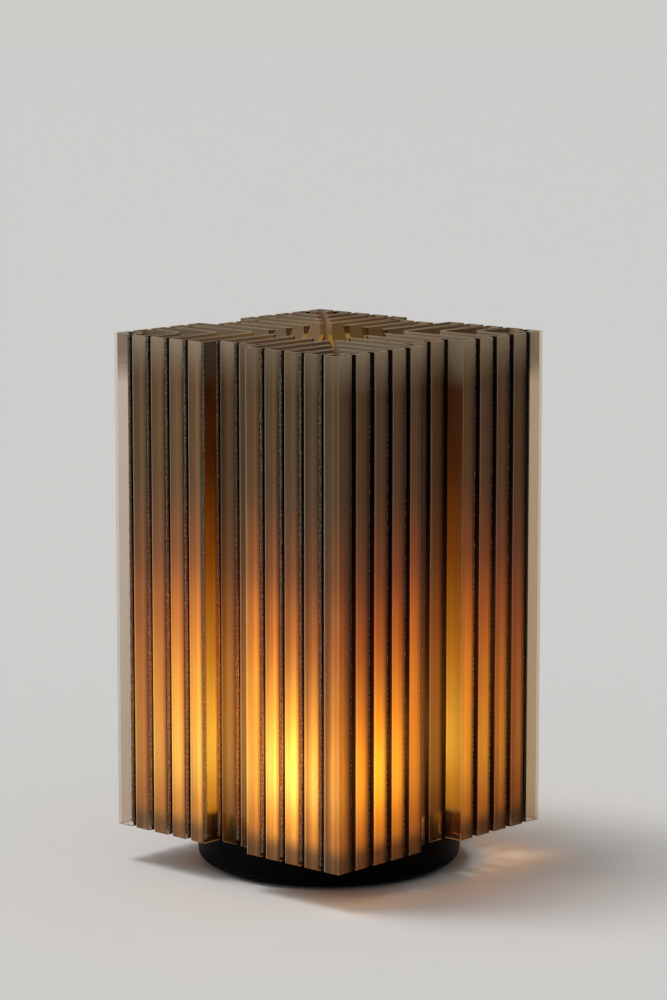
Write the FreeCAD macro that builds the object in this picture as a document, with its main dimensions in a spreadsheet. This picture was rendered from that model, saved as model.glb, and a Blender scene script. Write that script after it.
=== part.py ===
"""Cordless table lamp: a square, deeply pleated shade that lifts off a round black base.

Millimetres, +Z up. The origin is the middle of the foot ring's underside. The shade's four sides face
-Y, +X, +Y and -X, and the controls are in the rim under the notch of the +Y side, the back of the lamp.
"""
import FreeCAD, Part
import math
import os

import Sketcher
from FreeCAD import Placement, Rotation, Vector

# Driving sizes, in millimetres
SIZES = {
    # shade
    "shade_side": 117.0,
    "shade_height": 194.0,
    "shade_wall": 0.8,
    "slot_mouth": 3.0,
    "slot_tip": 0.6,
    "notch_depth": 7.25,
    "corner_way": 1.0,
    "vault_spring": 60.0,
    "top_opening": 42.0,
    "shade_play": 0.4,
    "rim_proud": 0.35,
    # base housing
    "base_height": 14.5,
    "shoulder_width": 4.0,
    "boss_height": 8.5,
    "boss_wall": 2.6,
    "ceiling": 2.2,
    "rim_rounding": 4.0,
    "shoulder_rounding": 0.5,
    "boss_rounding": 5.0,
    "flat_depth": 1.1,
    "port_wall": 2.1,
    "port_gap": 0.45,
    "overrun": 1.0,
    # bottom plate and foot
    "foot_height": 1.2,
    "foot_width": 9.0,
    "plate_thickness": 2.0,
    "plate_ledge": 1.7,
    "plate_play": 0.3,
    "foot_margin": 1.0,
    # plate screws and their pillars
    "pillar_radius": 3.5,
    "pillar_root": 1.0,
    "plate_screw_radius": 1.5,
    "plate_screw_head": 2.8,
    "plate_screw_length": 10.0,
    "thread_play": 0.1,
    # battery
    "pouch_width": 54.0,
    "pouch_height": 9.5,
    "pouch_rounding": 2.5,
    "pouch_play": 1.2,
    "pad_thickness": 1.0,
    "pad_margin": 6.0,
    "guard_width": 36.0,
    "guard_depth": 3.0,
    "guard_height": 3.0,
    "guard_gap": 1.5,
    # main board
    "board_width": 33.0,
    "board_length": 23.0,
    "board_thickness": 1.2,
    "board_lift": 1.6,
    "board_play": 0.4,
    "board_pillar_radius": 2.5,
    "board_screw_inset": 3.5,
    "small_screw_radius": 1.0,
    "small_screw_head": 1.8,
    "small_screw_head_height": 1.2,
    "small_screw_grip": 5.0,
    "chip_side": 4.0,
    "chip_height": 1.0,
    "coil_side": 6.0,
    "coil_height": 4.0,
    "signal_width": 1.6,
    "signal_depth": 1.0,
    "signal_height": 2.2,
    "plug_width": 8.0,
    "plug_depth": 4.0,
    "plug_height": 4.5,
    "plug_inset": 0.5,
    # charging socket
    "usb_width": 8.94,
    "usb_height": 3.26,
    "usb_length": 7.3,
    "usb_sheet": 0.3,
    "usb_back": 0.9,
    "usb_rounding": 1.3,
    "usb_recess": 0.3,
    "usb_play": 0.2,
    "tongue_width": 6.7,
    "tongue_height": 0.7,
    "tongue_length": 4.6,
    # power button, its switch and the charge light
    "button_radius": 2.8,
    "button_proud": 1.0,
    "button_travel": 0.8,
    "button_play": 0.1,
    "button_rounding": 0.4,
    "flange_radius": 3.6,
    "flange_thickness": 1.2,
    "flange_gap": 0.1,
    "stem_radius": 1.2,
    "stem_length": 1.3,
    "switch_width": 6.0,
    "switch_depth": 3.6,
    "switch_height": 3.4,
    "plunger_radius": 1.1,
    "plunger_proud": 1.5,
    "plunger_seat": 0.8,
    "plunger_play": 0.1,
    "plunger_room": 0.4,
    "light_radius": 0.9,
    "light_play": 0.1,
    "light_proud": 0.2,
    "light_gap": 0.4,
    # light source
    "led_board_thickness": 1.4,
    "thermal_pad_thickness": 0.4,
    "thermal_pad_margin": 0.5,
    "spreader_margin": 3.0,
    "spreader_thickness": 2.0,
    "led_side": 3.5,
    "led_height": 0.8,
    "led_screw_radius": 1.2,
    "led_screw_head": 2.2,
    "led_screw_head_height": 1.3,
    "led_screw_bite": 1.8,
    "screw_hole_play": 0.2,
    # diffuser and the ring that holds it down
    "diffuser_wall": 1.6,
    "diffuser_skirt": 10.0,
    "diffuser_rise": 12.0,
    "diffuser_flange": 2.4,
    "diffuser_flange_height": 1.6,
    "ring_play": 0.3,
    "ring_width": 4.4,
    "ring_margin": 3.4,
    "ring_lip": 1.4,
    "ring_screw_bite": 1.8,
    # leads
    "lead_radius": 0.65,
    "lead_spacing": 3.2,
    "lead_bend": 2.0,
    "lead_rise": 2.0,
    "lead_room": 0.5,
    "led_pad_inset": 3.0,
    "led_lead_rise": 2.0,
}

# Counts
BLOCK_PANELS = 5
NOTCH_PANELS = 2
SIDES = 4
SCREWS_IN_RING = 3
LED_COUNT = 6
SCREW_RING_START = 30

# Where the parts on the main board stand, as shares of its half width and its length
COIL_PLACE_SHARES = (0.55, 0.63)
DRIVER_PLACE_SHARES = (-0.55, 0.60)
CHARGER_PLACE_SHARES = (0.12, 0.78)

# Rings of diodes and of screws on the diode board, as shares of its radius
LED_RING_SHARE = 0.55
LED_SCREW_SHARE = 0.8

doc = FreeCAD.newDocument("CordlessLamp")
sheet = doc.addObject("Spreadsheet::Sheet", "Sizes")
for row, (alias, number) in enumerate(SIZES.items(), start=1):
    sheet.set(f"A{row}", alias.replace("_", " "))
    sheet.set(f"B{row}", str(number))
    sheet.setAlias(f"B{row}", alias)
doc.recompute()


class Size:
    """A size worked out from cells of the sheet: the expression that binds it, and its value now."""

    def __init__(self, text, value):
        self.text = text
        self.value = value

    def __add__(self, other):
        other = as_size(other)
        return Size(f"({self.text} + {other.text})", self.value + other.value)

    def __sub__(self, other):
        other = as_size(other)
        return Size(f"({self.text} - {other.text})", self.value - other.value)

    def __mul__(self, other):
        other = as_size(other)
        return Size(f"({self.text} * {other.text})", self.value * other.value)

    def __truediv__(self, other):
        other = as_size(other)
        return Size(f"({self.text} / {other.text})", self.value / other.value)

    def __neg__(self):
        return Size(f"(-1 * {self.text})", -self.value)

    __radd__ = __add__
    __rmul__ = __mul__


def as_size(quantity):
    """A plain count or factor, as a Size."""
    if isinstance(quantity, Size):
        return quantity
    return Size(repr(quantity), quantity)


def cell(alias):
    """One driving size, read from its cell."""
    return Size(f"Sizes.{alias}", sheet.get(alias))


def root(size):
    return Size(f"sqrt({size.text})", math.sqrt(size.value))


def least(first, second):
    return Size(f"min({first.text}; {second.text})", min(first.value, second.value))


def chord(radius, offset):
    """How far a circle reaches along one axis at a given offset along the other."""
    return root(radius * radius - offset * offset)


ZERO = as_size(0)
overrun = cell("overrun")


def bind(thing, name, size):
    thing.setExpression(name, size.text)


def place(thing, x, y, z):
    bind(thing, "Placement.Base.x", as_size(x))
    bind(thing, "Placement.Base.y", as_size(y))
    bind(thing, "Placement.Base.z", as_size(z))


def box(name, low, high):
    """A block between two opposite corners."""
    block = doc.addObject("Part::Box", name)
    for length, start, end in zip(("Length", "Width", "Height"), low, high):
        bind(block, length, as_size(end) - start)
    place(block, *low)
    return block


def cylinder(name, radius, start, end, x=ZERO, y=ZERO, along_y=False):
    """A round bar from start to end, upright at (x, y), or along +Y at (x, z) given as (x, y)."""
    bar = doc.addObject("Part::Cylinder", name)
    bind(bar, "Radius", radius)
    bind(bar, "Height", as_size(end) - start)
    if along_y:
        bar.Placement = Placement(Vector(), Rotation(Vector(1, 0, 0), -90))
        place(bar, x, start, y)
    else:
        place(bar, x, y, start)
    return bar


def cone(name, low_radius, high_radius, start, end, x, y):
    taper = doc.addObject("Part::Cone", name)
    bind(taper, "Radius1", low_radius)
    bind(taper, "Radius2", high_radius)
    bind(taper, "Height", end - start)
    place(taper, x, y, start)
    return taper


def fuse(name, pieces):
    joined = doc.addObject("Part::MultiFuse", name)
    joined.Shapes = pieces
    joined.Refine = True
    return joined


def common(name, pieces):
    shared = doc.addObject("Part::MultiCommon", name)
    shared.Shapes = pieces
    return shared


def cut(name, base, tools):
    """The base with one or more other pieces taken out of it."""
    removed = doc.addObject("Part::Cut", name)
    removed.Base = base
    removed.Tool = tools[0] if len(tools) == 1 else fuse(name + "_tools", tools)
    return removed


def group(name, pieces):
    """Several separate solids that share one node."""
    together = doc.addObject("Part::Compound", name)
    together.Links = pieces
    return together


def outline(body, name, role, corners):
    """A closed sketch on one of the body's own planes, each corner bound to named sizes."""
    sketch = body.newObject("Sketcher::SketchObject", name)
    plane = next(item for item in body.Origin.OriginFeatures if item.Role == role)
    sketch.AttachmentSupport = [(plane, "")]
    sketch.MapMode = "FlatFace"
    points = [Vector(x.value, y.value, 0) for x, y in corners]
    for start, end in zip(points, points[1:] + points[:1]):
        sketch.addGeometry(Part.LineSegment(start, end))
    for index, (x, y) in enumerate(corners):
        before = (index - 1) % len(corners)
        sketch.addConstraint(Sketcher.Constraint("Coincident", before, 2, index, 1))
        for kind, size, axis in (("DistanceX", x, -2), ("DistanceY", y, -1)):
            if size.value == 0:
                sketch.addConstraint(Sketcher.Constraint("PointOnObject", index, 1, axis))
                continue
            number = sketch.addConstraint(Sketcher.Constraint(kind, -1, 1, index, 1, size.value))
            sketch.setExpression(f"Constraints[{number}]", size.text)
    return sketch


def turned(name, corners):
    """A body turned about the lamp's axis from an outline in radius and height."""
    body = doc.addObject("PartDesign::Body", name)
    sketch = outline(body, name + "_profile", "XZ_Plane", corners)
    turn = body.newObject("PartDesign::Revolution", name + "_turn")
    turn.Profile = sketch
    turn.ReferenceAxis = (sketch, ["V_Axis"])
    turn.Angle = 360
    doc.recompute()
    return body


def rounded(body, name, radius, wanted):
    """Rounds the edges of the body that the wanted test picks."""
    tip = body.Tip
    edges = [f"Edge{number}" for number, edge in enumerate(tip.Shape.Edges, start=1) if wanted(edge)]
    rounding = body.newObject("PartDesign::Fillet", name)
    rounding.Base = (tip, edges)
    bind(rounding, "Radius", radius)
    doc.recompute()


def ring_edge(radius, height):
    """Picks the full circle at one radius and height about the lamp's axis."""
    def wanted(edge):
        curve = edge.Curve
        if not isinstance(curve, Part.Circle):
            return False
        return math.isclose(curve.Radius, radius.value) and math.isclose(curve.Center.z, height.value)
    return wanted


def straight_edge(direction):
    """Picks the straight edges that run one way."""
    def wanted(edge):
        return isinstance(edge.Curve, Part.Line) and abs(edge.Curve.Direction.dot(direction)) > 0.99
    return wanted


def padded(name, corners, role, length):
    """A body pushed out from an outline on one of its own planes."""
    body = doc.addObject("PartDesign::Body", name)
    pad = body.newObject("PartDesign::Pad", name + "_pad")
    pad.Profile = outline(body, name + "_outline", role, corners)
    bind(pad, "Length", length)
    doc.recompute()
    return body


def rectangle(width, depth):
    """The corners of a rectangle about the middle of a sketch."""
    right = width / 2
    far = depth / 2
    return [(-right, -far), (right, -far), (right, far), (-right, far)]


def on_circle(radius, degrees):
    """A place on a circle about the lamp's axis."""
    angle = math.radians(degrees)
    return radius * round(math.cos(angle), 9), radius * round(math.sin(angle), 9)


def screw_ring(radius):
    """The places of a ring of screws."""
    step = 360 / SCREWS_IN_RING
    return [on_circle(radius, SCREW_RING_START + index * step) for index in range(SCREWS_IN_RING)]


# Levels, from the floor up
under = cell("foot_height")
plate_top = under + cell("plate_thickness")
shoulder = cell("base_height")
boss_top = shoulder + cell("boss_height")
ceiling_under = boss_top - cell("ceiling")
shade_top = shoulder + cell("shade_height")
board_under = plate_top + cell("board_lift")
board_top = board_under + cell("board_thickness")
spreader_top = boss_top + cell("spreader_thickness")
pad_top = spreader_top + cell("thermal_pad_thickness")
led_board_top = pad_top + cell("led_board_thickness")

# Radii of the base, which follow the shade that stands on it
half_side = cell("shade_side") / 2
notch_face = half_side - cell("notch_depth")
rim_radius = notch_face + cell("rim_proud")
boss_radius = rim_radius - cell("shoulder_width")
cavity_radius = boss_radius - cell("boss_wall")
plate_seat_radius = cavity_radius + cell("plate_ledge")
pillar_circle = cavity_radius - cell("pillar_radius") + cell("pillar_root")

# Radii of the diffuser and the light source, worked inward from the boss's rounded edge
ring_outer = boss_radius - cell("boss_rounding") - cell("ring_margin")
ring_seat_radius = ring_outer - cell("ring_width")
ring_screw_circle = (ring_seat_radius + ring_outer) / 2
diffuser_edge = ring_seat_radius - cell("ring_play")
diffuser_outer = diffuser_edge - cell("diffuser_flange")
diffuser_inner = diffuser_outer - cell("diffuser_wall")
lead_reach = cell("lead_spacing") / 2
lead_hole_radius = lead_reach + cell("lead_radius") + cell("lead_room")
lead_back = diffuser_inner - lead_hole_radius - cell("lead_room")
spreader_radius = lead_back - lead_hole_radius - cell("lead_room")
led_board_radius = spreader_radius - cell("spreader_margin")
led_ring_radius = led_board_radius * LED_RING_SHARE
led_screw_circle = led_board_radius * LED_SCREW_SHARE
ring_top = boss_top + cell("diffuser_flange_height") + cell("ring_lip")

# Places behind the rear flat, worked inward from it
rear_flat = rim_radius - cell("flat_depth")
port_inside = rear_flat - cell("port_wall")
usb_mouth = rear_flat - cell("usb_recess")
usb_rear = usb_mouth - cell("usb_length")
flange_front = port_inside - cell("flange_gap")
flange_back = flange_front - cell("flange_thickness")
stem_end = flange_back - cell("stem_length")
switch_front = stem_end - cell("plunger_proud")
board_half = cell("board_width") / 2
board_rear = chord(cavity_radius - cell("board_play"), board_half)
board_front = board_rear - cell("board_length")
guard_rear = board_front - cell("guard_gap")
pouch_rear = guard_rear - cell("guard_depth")
pouch_front = -chord(cavity_radius - cell("pouch_play"), cell("pouch_width") / 2)
plug_middle = board_front + cell("plug_inset") + cell("plug_depth") / 2

# Places across the rear flat: button, charge light and socket side by side
usb_left = cell("port_gap")
usb_right = usb_left + cell("usb_width")
light_across = -(cell("light_radius") + cell("port_gap"))
button_across = light_across - cell("light_radius") - cell("port_gap") - cell("flange_radius")
port_left = button_across - cell("flange_radius") - cell("board_play")
port_right = usb_right + cell("board_play")
port_level = board_top + cell("switch_height") / 2
port_top = port_level + cell("flange_radius") + cell("board_play")


# Shade: one continuous folded wall, printed in a single line
def slot_length(from_corner):
    """A slot stops short of its mirror image at the corner's diagonal, or inside the vault."""
    to_diagonal = from_corner - cell("slot_tip") / 2 - 2 * cell("shade_wall") - cell("corner_way")
    to_vault = half_side - cell("top_opening") / 2 + overrun
    return least(to_diagonal, to_vault)


def slot_wedges(name, growth):
    """The slots of all four sides, tapering inward, each grown on every side by the given thickness."""
    panels = 2 * BLOCK_PANELS + NOTCH_PANELS
    pitch = (cell("shade_side") + cell("slot_mouth")) / panels
    wedges = []
    for side in range(SIDES):
        for index in range(1, panels):
            across = pitch * (index - panels / 2)
            from_corner = pitch * min(index, panels - index) - cell("slot_mouth") / 2
            wedge = doc.addObject("Part::Wedge", f"{name}_{side}_{index}")
            mouth = cell("slot_mouth") / 2 + growth
            tip = cell("slot_tip") / 2 + growth
            bind(wedge, "Xmin", across - mouth)
            bind(wedge, "Xmax", across + mouth)
            bind(wedge, "X2min", across - tip)
            bind(wedge, "X2max", across + tip)
            bind(wedge, "Ymin", -half_side - overrun)
            bind(wedge, "Ymax", -half_side + slot_length(from_corner) + growth)
            for low in ("Zmin", "Z2min"):
                bind(wedge, low, shoulder - 2 * overrun)
            for high in ("Zmax", "Z2max"):
                bind(wedge, high, shade_top + 2 * overrun)
            wedge.Placement = Placement(Vector(), Rotation(Vector(0, 0, 1), side * 360 / SIDES))
            wedges.append(wedge)
    return wedges


def notched_block(name, inset, low, high):
    """The square block of the shade with a shallow notch down the middle of each side."""
    reach = half_side - inset
    block = box(name + "_block", (-reach, -reach, low), (reach, reach, high))
    panels = 2 * BLOCK_PANELS + NOTCH_PANELS
    pitch = (cell("shade_side") + cell("slot_mouth")) / panels
    half_width = pitch * NOTCH_PANELS / 2 + inset
    floor = notch_face - inset
    out = half_side + overrun
    notches = [
        box(name + "_front", (-half_width, -out, low - overrun), (half_width, -floor, high + overrun)),
        box(name + "_back", (-half_width, floor, low - overrun), (half_width, out, high + overrun)),
        box(name + "_left", (-out, -half_width, low - overrun), (-floor, half_width, high + overrun)),
        box(name + "_right", (floor, -half_width, low - overrun), (out, half_width, high + overrun)),
    ]
    return cut(name, block, notches)


def vault(name, inset, low, high):
    """The hollow that the slots end at: upright walls at the foot, arching in towards the top."""
    rise = cell("shade_height") - cell("vault_spring")
    foot = boss_radius + cell("shade_play") + cell("shade_wall")
    run = foot - cell("top_opening") / 2
    sweep = (rise * rise + run * run) / (2 * run)
    spring = shoulder + cell("vault_spring")
    reach = foot - inset
    lower = box(name + "_lower", (-reach, -reach, low), (reach, reach, spring))
    upper = box(name + "_upper", (-reach, -reach, spring), (reach, reach, high))
    arches = [upper]
    for side in range(SIDES):
        arch = doc.addObject("Part::Cylinder", f"{name}_arch_{side}")
        bind(arch, "Radius", sweep - inset)
        bind(arch, "Height", 4 * half_side)
        upright = Rotation(Vector(1, 0, 0), -90)
        quarter = Rotation(Vector(0, 0, 1), side * 360 / SIDES)
        arch.Placement = Placement(Vector(), quarter.multiply(upright))
        away = foot - sweep
        along = -2 * half_side
        cosine = round(math.cos(math.radians(side * 360 / SIDES)))
        sine = round(math.sin(math.radians(side * 360 / SIDES)))
        place(arch, away * cosine - along * sine, away * sine + along * cosine, spring)
        arches.append(arch)
    return fuse(name, [lower, common(name + "_arched", arches)])


def make_shade():
    wall = cell("shade_wall")
    low = shoulder
    high = shade_top
    pleated = cut("shade_pleats", notched_block("shade_outside", ZERO, low, high), slot_wedges("slot", ZERO))
    outside = fuse("shade_mass", [pleated, vault("vault", ZERO, low, high)])
    under_low = low - overrun
    over_high = high + overrun
    folds = cut("hollow_folds", notched_block("shade_inside", wall, under_low, over_high),
                slot_wedges("fold", wall))
    inside = fuse("shade_hollow", [folds, vault("hollow_vault", wall, under_low, over_high)])
    return cut("shade", outside, [inside])


# Base housing: a moulded cup with a boss that locates the shade
def make_housing():
    cup = turned("housing_cup", [
        (ZERO, boss_top),
        (boss_radius, boss_top),
        (boss_radius, shoulder),
        (rim_radius, shoulder),
        (rim_radius, under),
        (plate_seat_radius, under),
        (plate_seat_radius, plate_top),
        (cavity_radius, plate_top),
        (cavity_radius, ceiling_under),
        (ZERO, ceiling_under),
    ])
    rounded(cup, "rim_round", cell("rim_rounding"), ring_edge(rim_radius, under))
    rounded(cup, "shoulder_round", cell("shoulder_rounding"), ring_edge(rim_radius, shoulder))
    rounded(cup, "boss_round", cell("boss_rounding"), ring_edge(boss_radius, boss_top))
    posts = []
    holes = []
    post_end = ceiling_under + cell("ceiling") / 4
    thread = cell("plate_screw_radius") + cell("thread_play")
    for index, (x, y) in enumerate(screw_ring(pillar_circle)):
        posts.append(cylinder(f"plate_post_{index}", cell("pillar_radius"), plate_top, post_end, x, y))
        holes.append(cylinder(f"plate_thread_{index}", thread, plate_top - overrun,
                              under + cell("plate_screw_length") + overrun, x, y))
    thread = cell("small_screw_radius") + cell("thread_play")
    for index, (x, y) in enumerate(board_screw_places()):
        posts.append(cylinder(f"board_post_{index}", cell("board_pillar_radius"), board_top, post_end, x, y))
        holes.append(cylinder(f"board_thread_{index}", thread, board_top - overrun,
                              board_top + cell("small_screw_grip") + overrun, x, y))
    for index, (x, y) in enumerate(screw_ring(ring_screw_circle)):
        holes.append(cylinder(f"ring_thread_{index}", thread, ceiling_under - overrun,
                              boss_top + overrun, x, y))
    thread = cell("led_screw_radius") + cell("thread_play")
    for index, (x, y) in enumerate(screw_ring(led_screw_circle)):
        holes.append(cylinder(f"led_thread_{index}", thread, ceiling_under - overrun,
                              boss_top + overrun, x, y))
    holes.append(cylinder("lead_way", lead_hole_radius, ceiling_under - overrun, boss_top + overrun,
                          ZERO, lead_back))
    out = rim_radius + overrun
    holes.append(box("rear_flat_cut", (-rim_radius, rear_flat, -overrun),
                     (rim_radius, out, shoulder + overrun)))
    holes.append(box("port_pocket", (port_left, board_front, plate_top - overrun),
                     (port_right, port_inside, port_top)))
    holes.append(cylinder("button_way", cell("button_radius") + cell("button_play"), port_inside - overrun,
                          out, button_across, port_level, along_y=True))
    holes.append(cylinder("light_way", cell("light_radius") + cell("light_play"), port_inside - overrun,
                          out, light_across, port_level, along_y=True))
    play = cell("usb_play")
    holes.append(box("usb_way", (usb_left - play, port_inside - overrun, board_top - play),
                     (usb_right + play, out, board_top + cell("usb_height") + play)))
    return cut("base_housing", fuse("housing_posts", [cup] + posts), holes)


# Underside: steel plate that weighs the lamp down, rubber foot and countersunk screws
def make_plate():
    radius = plate_seat_radius - cell("plate_play")
    disc = cylinder("plate_disc", radius, under, plate_top)
    holes = []
    play = cell("screw_hole_play")
    for index, (x, y) in enumerate(screw_ring(pillar_circle)):
        holes.append(cylinder(f"plate_hole_{index}", cell("plate_screw_radius") + play,
                              under - overrun, plate_top + overrun, x, y))
        sink = plate_screw_sink()
        holes.append(cone(f"plate_sink_{index}", cell("plate_screw_head") + play,
                          cell("plate_screw_radius") + play, under, under + sink, x, y))
    return cut("bottom_plate", disc, holes)


def plate_screw_sink():
    """A right-angled countersink is as deep as its head stands out round the thread."""
    return cell("plate_screw_head") - cell("plate_screw_radius")


def make_plate_screws():
    screws = []
    for index, (x, y) in enumerate(screw_ring(pillar_circle)):
        head = cone(f"plate_screw_head_{index}", cell("plate_screw_head"), cell("plate_screw_radius"),
                    under, under + plate_screw_sink(), x, y)
        thread = cylinder(f"plate_screw_thread_{index}", cell("plate_screw_radius"), under,
                          under + cell("plate_screw_length"), x, y)
        screws.append(fuse(f"plate_screw_{index}", [head, thread]))
    return group("plate_screws", screws)


def make_foot():
    outer = pillar_circle - cell("plate_screw_head") - cell("foot_margin")
    inner = outer - cell("foot_width")
    disc = cylinder("foot_disc", outer, ZERO, under)
    bore = cylinder("foot_bore", inner, -overrun, under + overrun)
    return cut("foot_ring", disc, [bore])


# Battery: a flat lithium pouch on a foam pad, with its guard board across the tab end
def make_pouch():
    length = pouch_rear - pouch_front
    pouch = padded("battery_pouch", rectangle(cell("pouch_width"), length), "XY_Plane", cell("pouch_height"))
    rounded(pouch, "pouch_round", cell("pouch_rounding"), straight_edge(Vector(0, 0, 1)))
    place(pouch, ZERO, (pouch_rear + pouch_front) / 2, plate_top + cell("pad_thickness"))
    return pouch


def make_pouch_pad():
    half_width = cell("pouch_width") / 2 - cell("pad_margin")
    margin = cell("pad_margin")
    return box("battery_pad", (-half_width, pouch_front + margin, plate_top),
               (half_width, pouch_rear - margin, plate_top + cell("pad_thickness")))


def guard_under():
    middle = plate_top + cell("pad_thickness") + cell("pouch_height") / 2
    return middle - cell("guard_height") / 2


def make_guard():
    half_width = cell("guard_width") / 2
    return box("battery_guard", (-half_width, pouch_rear, guard_under()),
               (half_width, guard_rear, guard_under() + cell("guard_height")))


# Main board, its parts and the two lead plugs
def board_screw_places():
    across = board_half - cell("board_screw_inset")
    back = board_front + cell("board_screw_inset")
    return [(-across, back), (across, back)]


def make_board():
    main = box("board_main", (-board_half, board_front, board_under), (board_half, board_rear, board_top))
    play = cell("board_play")
    shelf = box("board_shelf", (port_left + play, board_front, board_under),
                (port_right - play, switch_front, board_top))
    tongue = box("board_tongue", (ZERO, board_front, board_under),
                 (port_right - play, port_inside - play, board_top))
    holes = []
    for index, (x, y) in enumerate(board_screw_places()):
        holes.append(cylinder(f"board_hole_{index}", cell("small_screw_radius") + cell("screw_hole_play"),
                              board_under - overrun, board_top + overrun, x, y))
    return cut("main_board", fuse("board_outline", [main, shelf, tongue]), holes)


def make_board_screws():
    screws = []
    for index, (x, y) in enumerate(board_screw_places()):
        head = cylinder(f"board_screw_head_{index}", cell("small_screw_head"),
                        board_under - cell("small_screw_head_height"), board_under, x, y)
        thread = cylinder(f"board_screw_thread_{index}", cell("small_screw_radius"), board_under,
                          board_top + cell("small_screw_grip"), x, y)
        screws.append(fuse(f"board_screw_{index}", [head, thread]))
    return group("board_screws", screws)


def on_board(name, place_shares, side, height):
    """A square part soldered to the top of the board."""
    across_share, along_share = place_shares
    x = board_half * across_share
    y = board_front + cell("board_length") * along_share
    half = side / 2
    return box(name, (x - half, y - half, board_top), (x + half, y + half, board_top + height))


def make_board_parts():
    coil = on_board("boost_coil", COIL_PLACE_SHARES, cell("coil_side"), cell("coil_height"))
    driver = on_board("led_driver", DRIVER_PLACE_SHARES, cell("chip_side"), cell("chip_height"))
    charger = on_board("charger", CHARGER_PLACE_SHARES, cell("chip_side"), cell("chip_height"))
    half_width = cell("signal_width") / 2
    signal = box("signal_led", (light_across - half_width, switch_front - cell("signal_depth"), board_top),
                 (light_across + half_width, switch_front, board_top + cell("signal_height")))
    return group("board_parts", [coil, driver, charger, signal])


def make_plugs():
    half_width = cell("plug_width") / 2
    half_depth = cell("plug_depth") / 2
    top = board_top + cell("plug_height")
    plugs = []
    for name, middle in (("battery_plug", plug_middle), ("led_plug", lead_back)):
        plugs.append(box(name, (-half_width, middle - half_depth, board_top),
                         (half_width, middle + half_depth, top)))
    return group("lead_plugs", plugs)


# Charging socket: a drawn steel shell and the contact tongue inside it
def make_usb_shell():
    width = cell("usb_width")
    height = cell("usb_height")
    sheet_metal = cell("usb_sheet")
    corners = rectangle(width, height)
    shell = padded("usb_shell", corners, "XZ_Plane", cell("usb_length"))
    rounded(shell, "usb_round", cell("usb_rounding"), straight_edge(Vector(0, 1, 0)))
    inner = padded("usb_inside", rectangle(width - 2 * sheet_metal, height - 2 * sheet_metal), "XZ_Plane",
                   cell("usb_length"))
    rounded(inner, "usb_inside_round", cell("usb_rounding") - sheet_metal, straight_edge(Vector(0, 1, 0)))
    middle = (usb_left + usb_right) / 2
    level = board_top + height / 2
    place(shell, middle, usb_mouth, level)
    place(inner, middle, usb_mouth + cell("usb_back"), level)
    return cut("usb_socket", shell, [inner])


def make_usb_tongue():
    middle = (usb_left + usb_right) / 2
    level = board_top + cell("usb_height") / 2
    half_width = cell("tongue_width") / 2
    half_height = cell("tongue_height") / 2
    back = usb_rear + cell("usb_back")
    return box("usb_tongue", (middle - half_width, back, level - half_height),
               (middle + half_width, back + cell("tongue_length"), level + half_height))


# Power button, the switch it presses and the charge light's pipe
def make_switch():
    half_width = cell("switch_width") / 2
    block = box("switch_block", (button_across - half_width, switch_front - cell("switch_depth"), board_top),
                (button_across + half_width, switch_front, board_top + cell("switch_height")))
    depth = cell("plunger_seat") + cell("button_travel") + cell("plunger_room")
    bore = cylinder("switch_bore", cell("plunger_radius") + cell("plunger_play"), switch_front - depth,
                    switch_front + overrun, button_across, port_level, along_y=True)
    return cut("tact_switch", block, [bore])


def make_plunger():
    return cylinder("switch_plunger", cell("plunger_radius"), switch_front - cell("plunger_seat"), stem_end,
                    button_across, port_level, along_y=True)


def make_button():
    stem = cylinder("button_stem", cell("stem_radius"), stem_end, flange_front, button_across,
                    port_level, along_y=True)
    flange = cylinder("button_flange", cell("flange_radius"), flange_back, flange_front, button_across,
                      port_level, along_y=True)
    cap_end = rear_flat + cell("button_proud")
    edge = cell("button_rounding")
    shaft = cylinder("button_shaft", cell("button_radius"), flange_back, cap_end - edge, button_across,
                     port_level, along_y=True)
    crown = doc.addObject("Part::Cone", "button_crown")
    bind(crown, "Radius1", cell("button_radius"))
    bind(crown, "Radius2", cell("button_radius") - edge)
    bind(crown, "Height", edge)
    crown.Placement = Placement(Vector(), Rotation(Vector(1, 0, 0), -90))
    place(crown, button_across, cap_end - edge, port_level)
    return fuse("power_button", [stem, flange, shaft, crown])


def make_charge_light():
    return cylinder("charge_light", cell("light_radius"), switch_front + cell("light_gap"),
                    rear_flat + cell("light_proud"), light_across, port_level, along_y=True)


# Light source on the boss: spreader, thermal pad, board, diodes and screws
def pierced_disc(name, radius, low, high):
    disc = cylinder(name + "_disc", radius, low, high)
    holes = []
    for index, (x, y) in enumerate(screw_ring(led_screw_circle)):
        holes.append(cylinder(f"{name}_hole_{index}", cell("led_screw_radius") + cell("screw_hole_play"),
                              low - overrun, high + overrun, x, y))
    return cut(name, disc, holes)


def make_leds():
    chips = []
    half = cell("led_side") / 2
    for index in range(LED_COUNT):
        x, y = on_circle(led_ring_radius, index * 360 / LED_COUNT)
        chips.append(box(f"led_{index}", (x - half, y - half, led_board_top),
                         (x + half, y + half, led_board_top + cell("led_height"))))
    return group("led_chips", chips)


def pan_screws(name, places, sizes, seat, end):
    """A ring of pan-head screws, each from its seat down to its end."""
    radius, head, head_height = sizes
    screws = []
    for index, (x, y) in enumerate(places):
        cap = cylinder(f"{name}_head_{index}", head, seat, seat + head_height, x, y)
        thread = cylinder(f"{name}_thread_{index}", radius, end, seat, x, y)
        screws.append(fuse(f"{name}_{index}", [cap, thread]))
    return group(name, screws)


def make_led_screws():
    sizes = (cell("led_screw_radius"), cell("led_screw_head"), cell("led_screw_head_height"))
    return pan_screws("led_screws", screw_ring(led_screw_circle), sizes, led_board_top,
                      boss_top - cell("led_screw_bite"))


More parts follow.
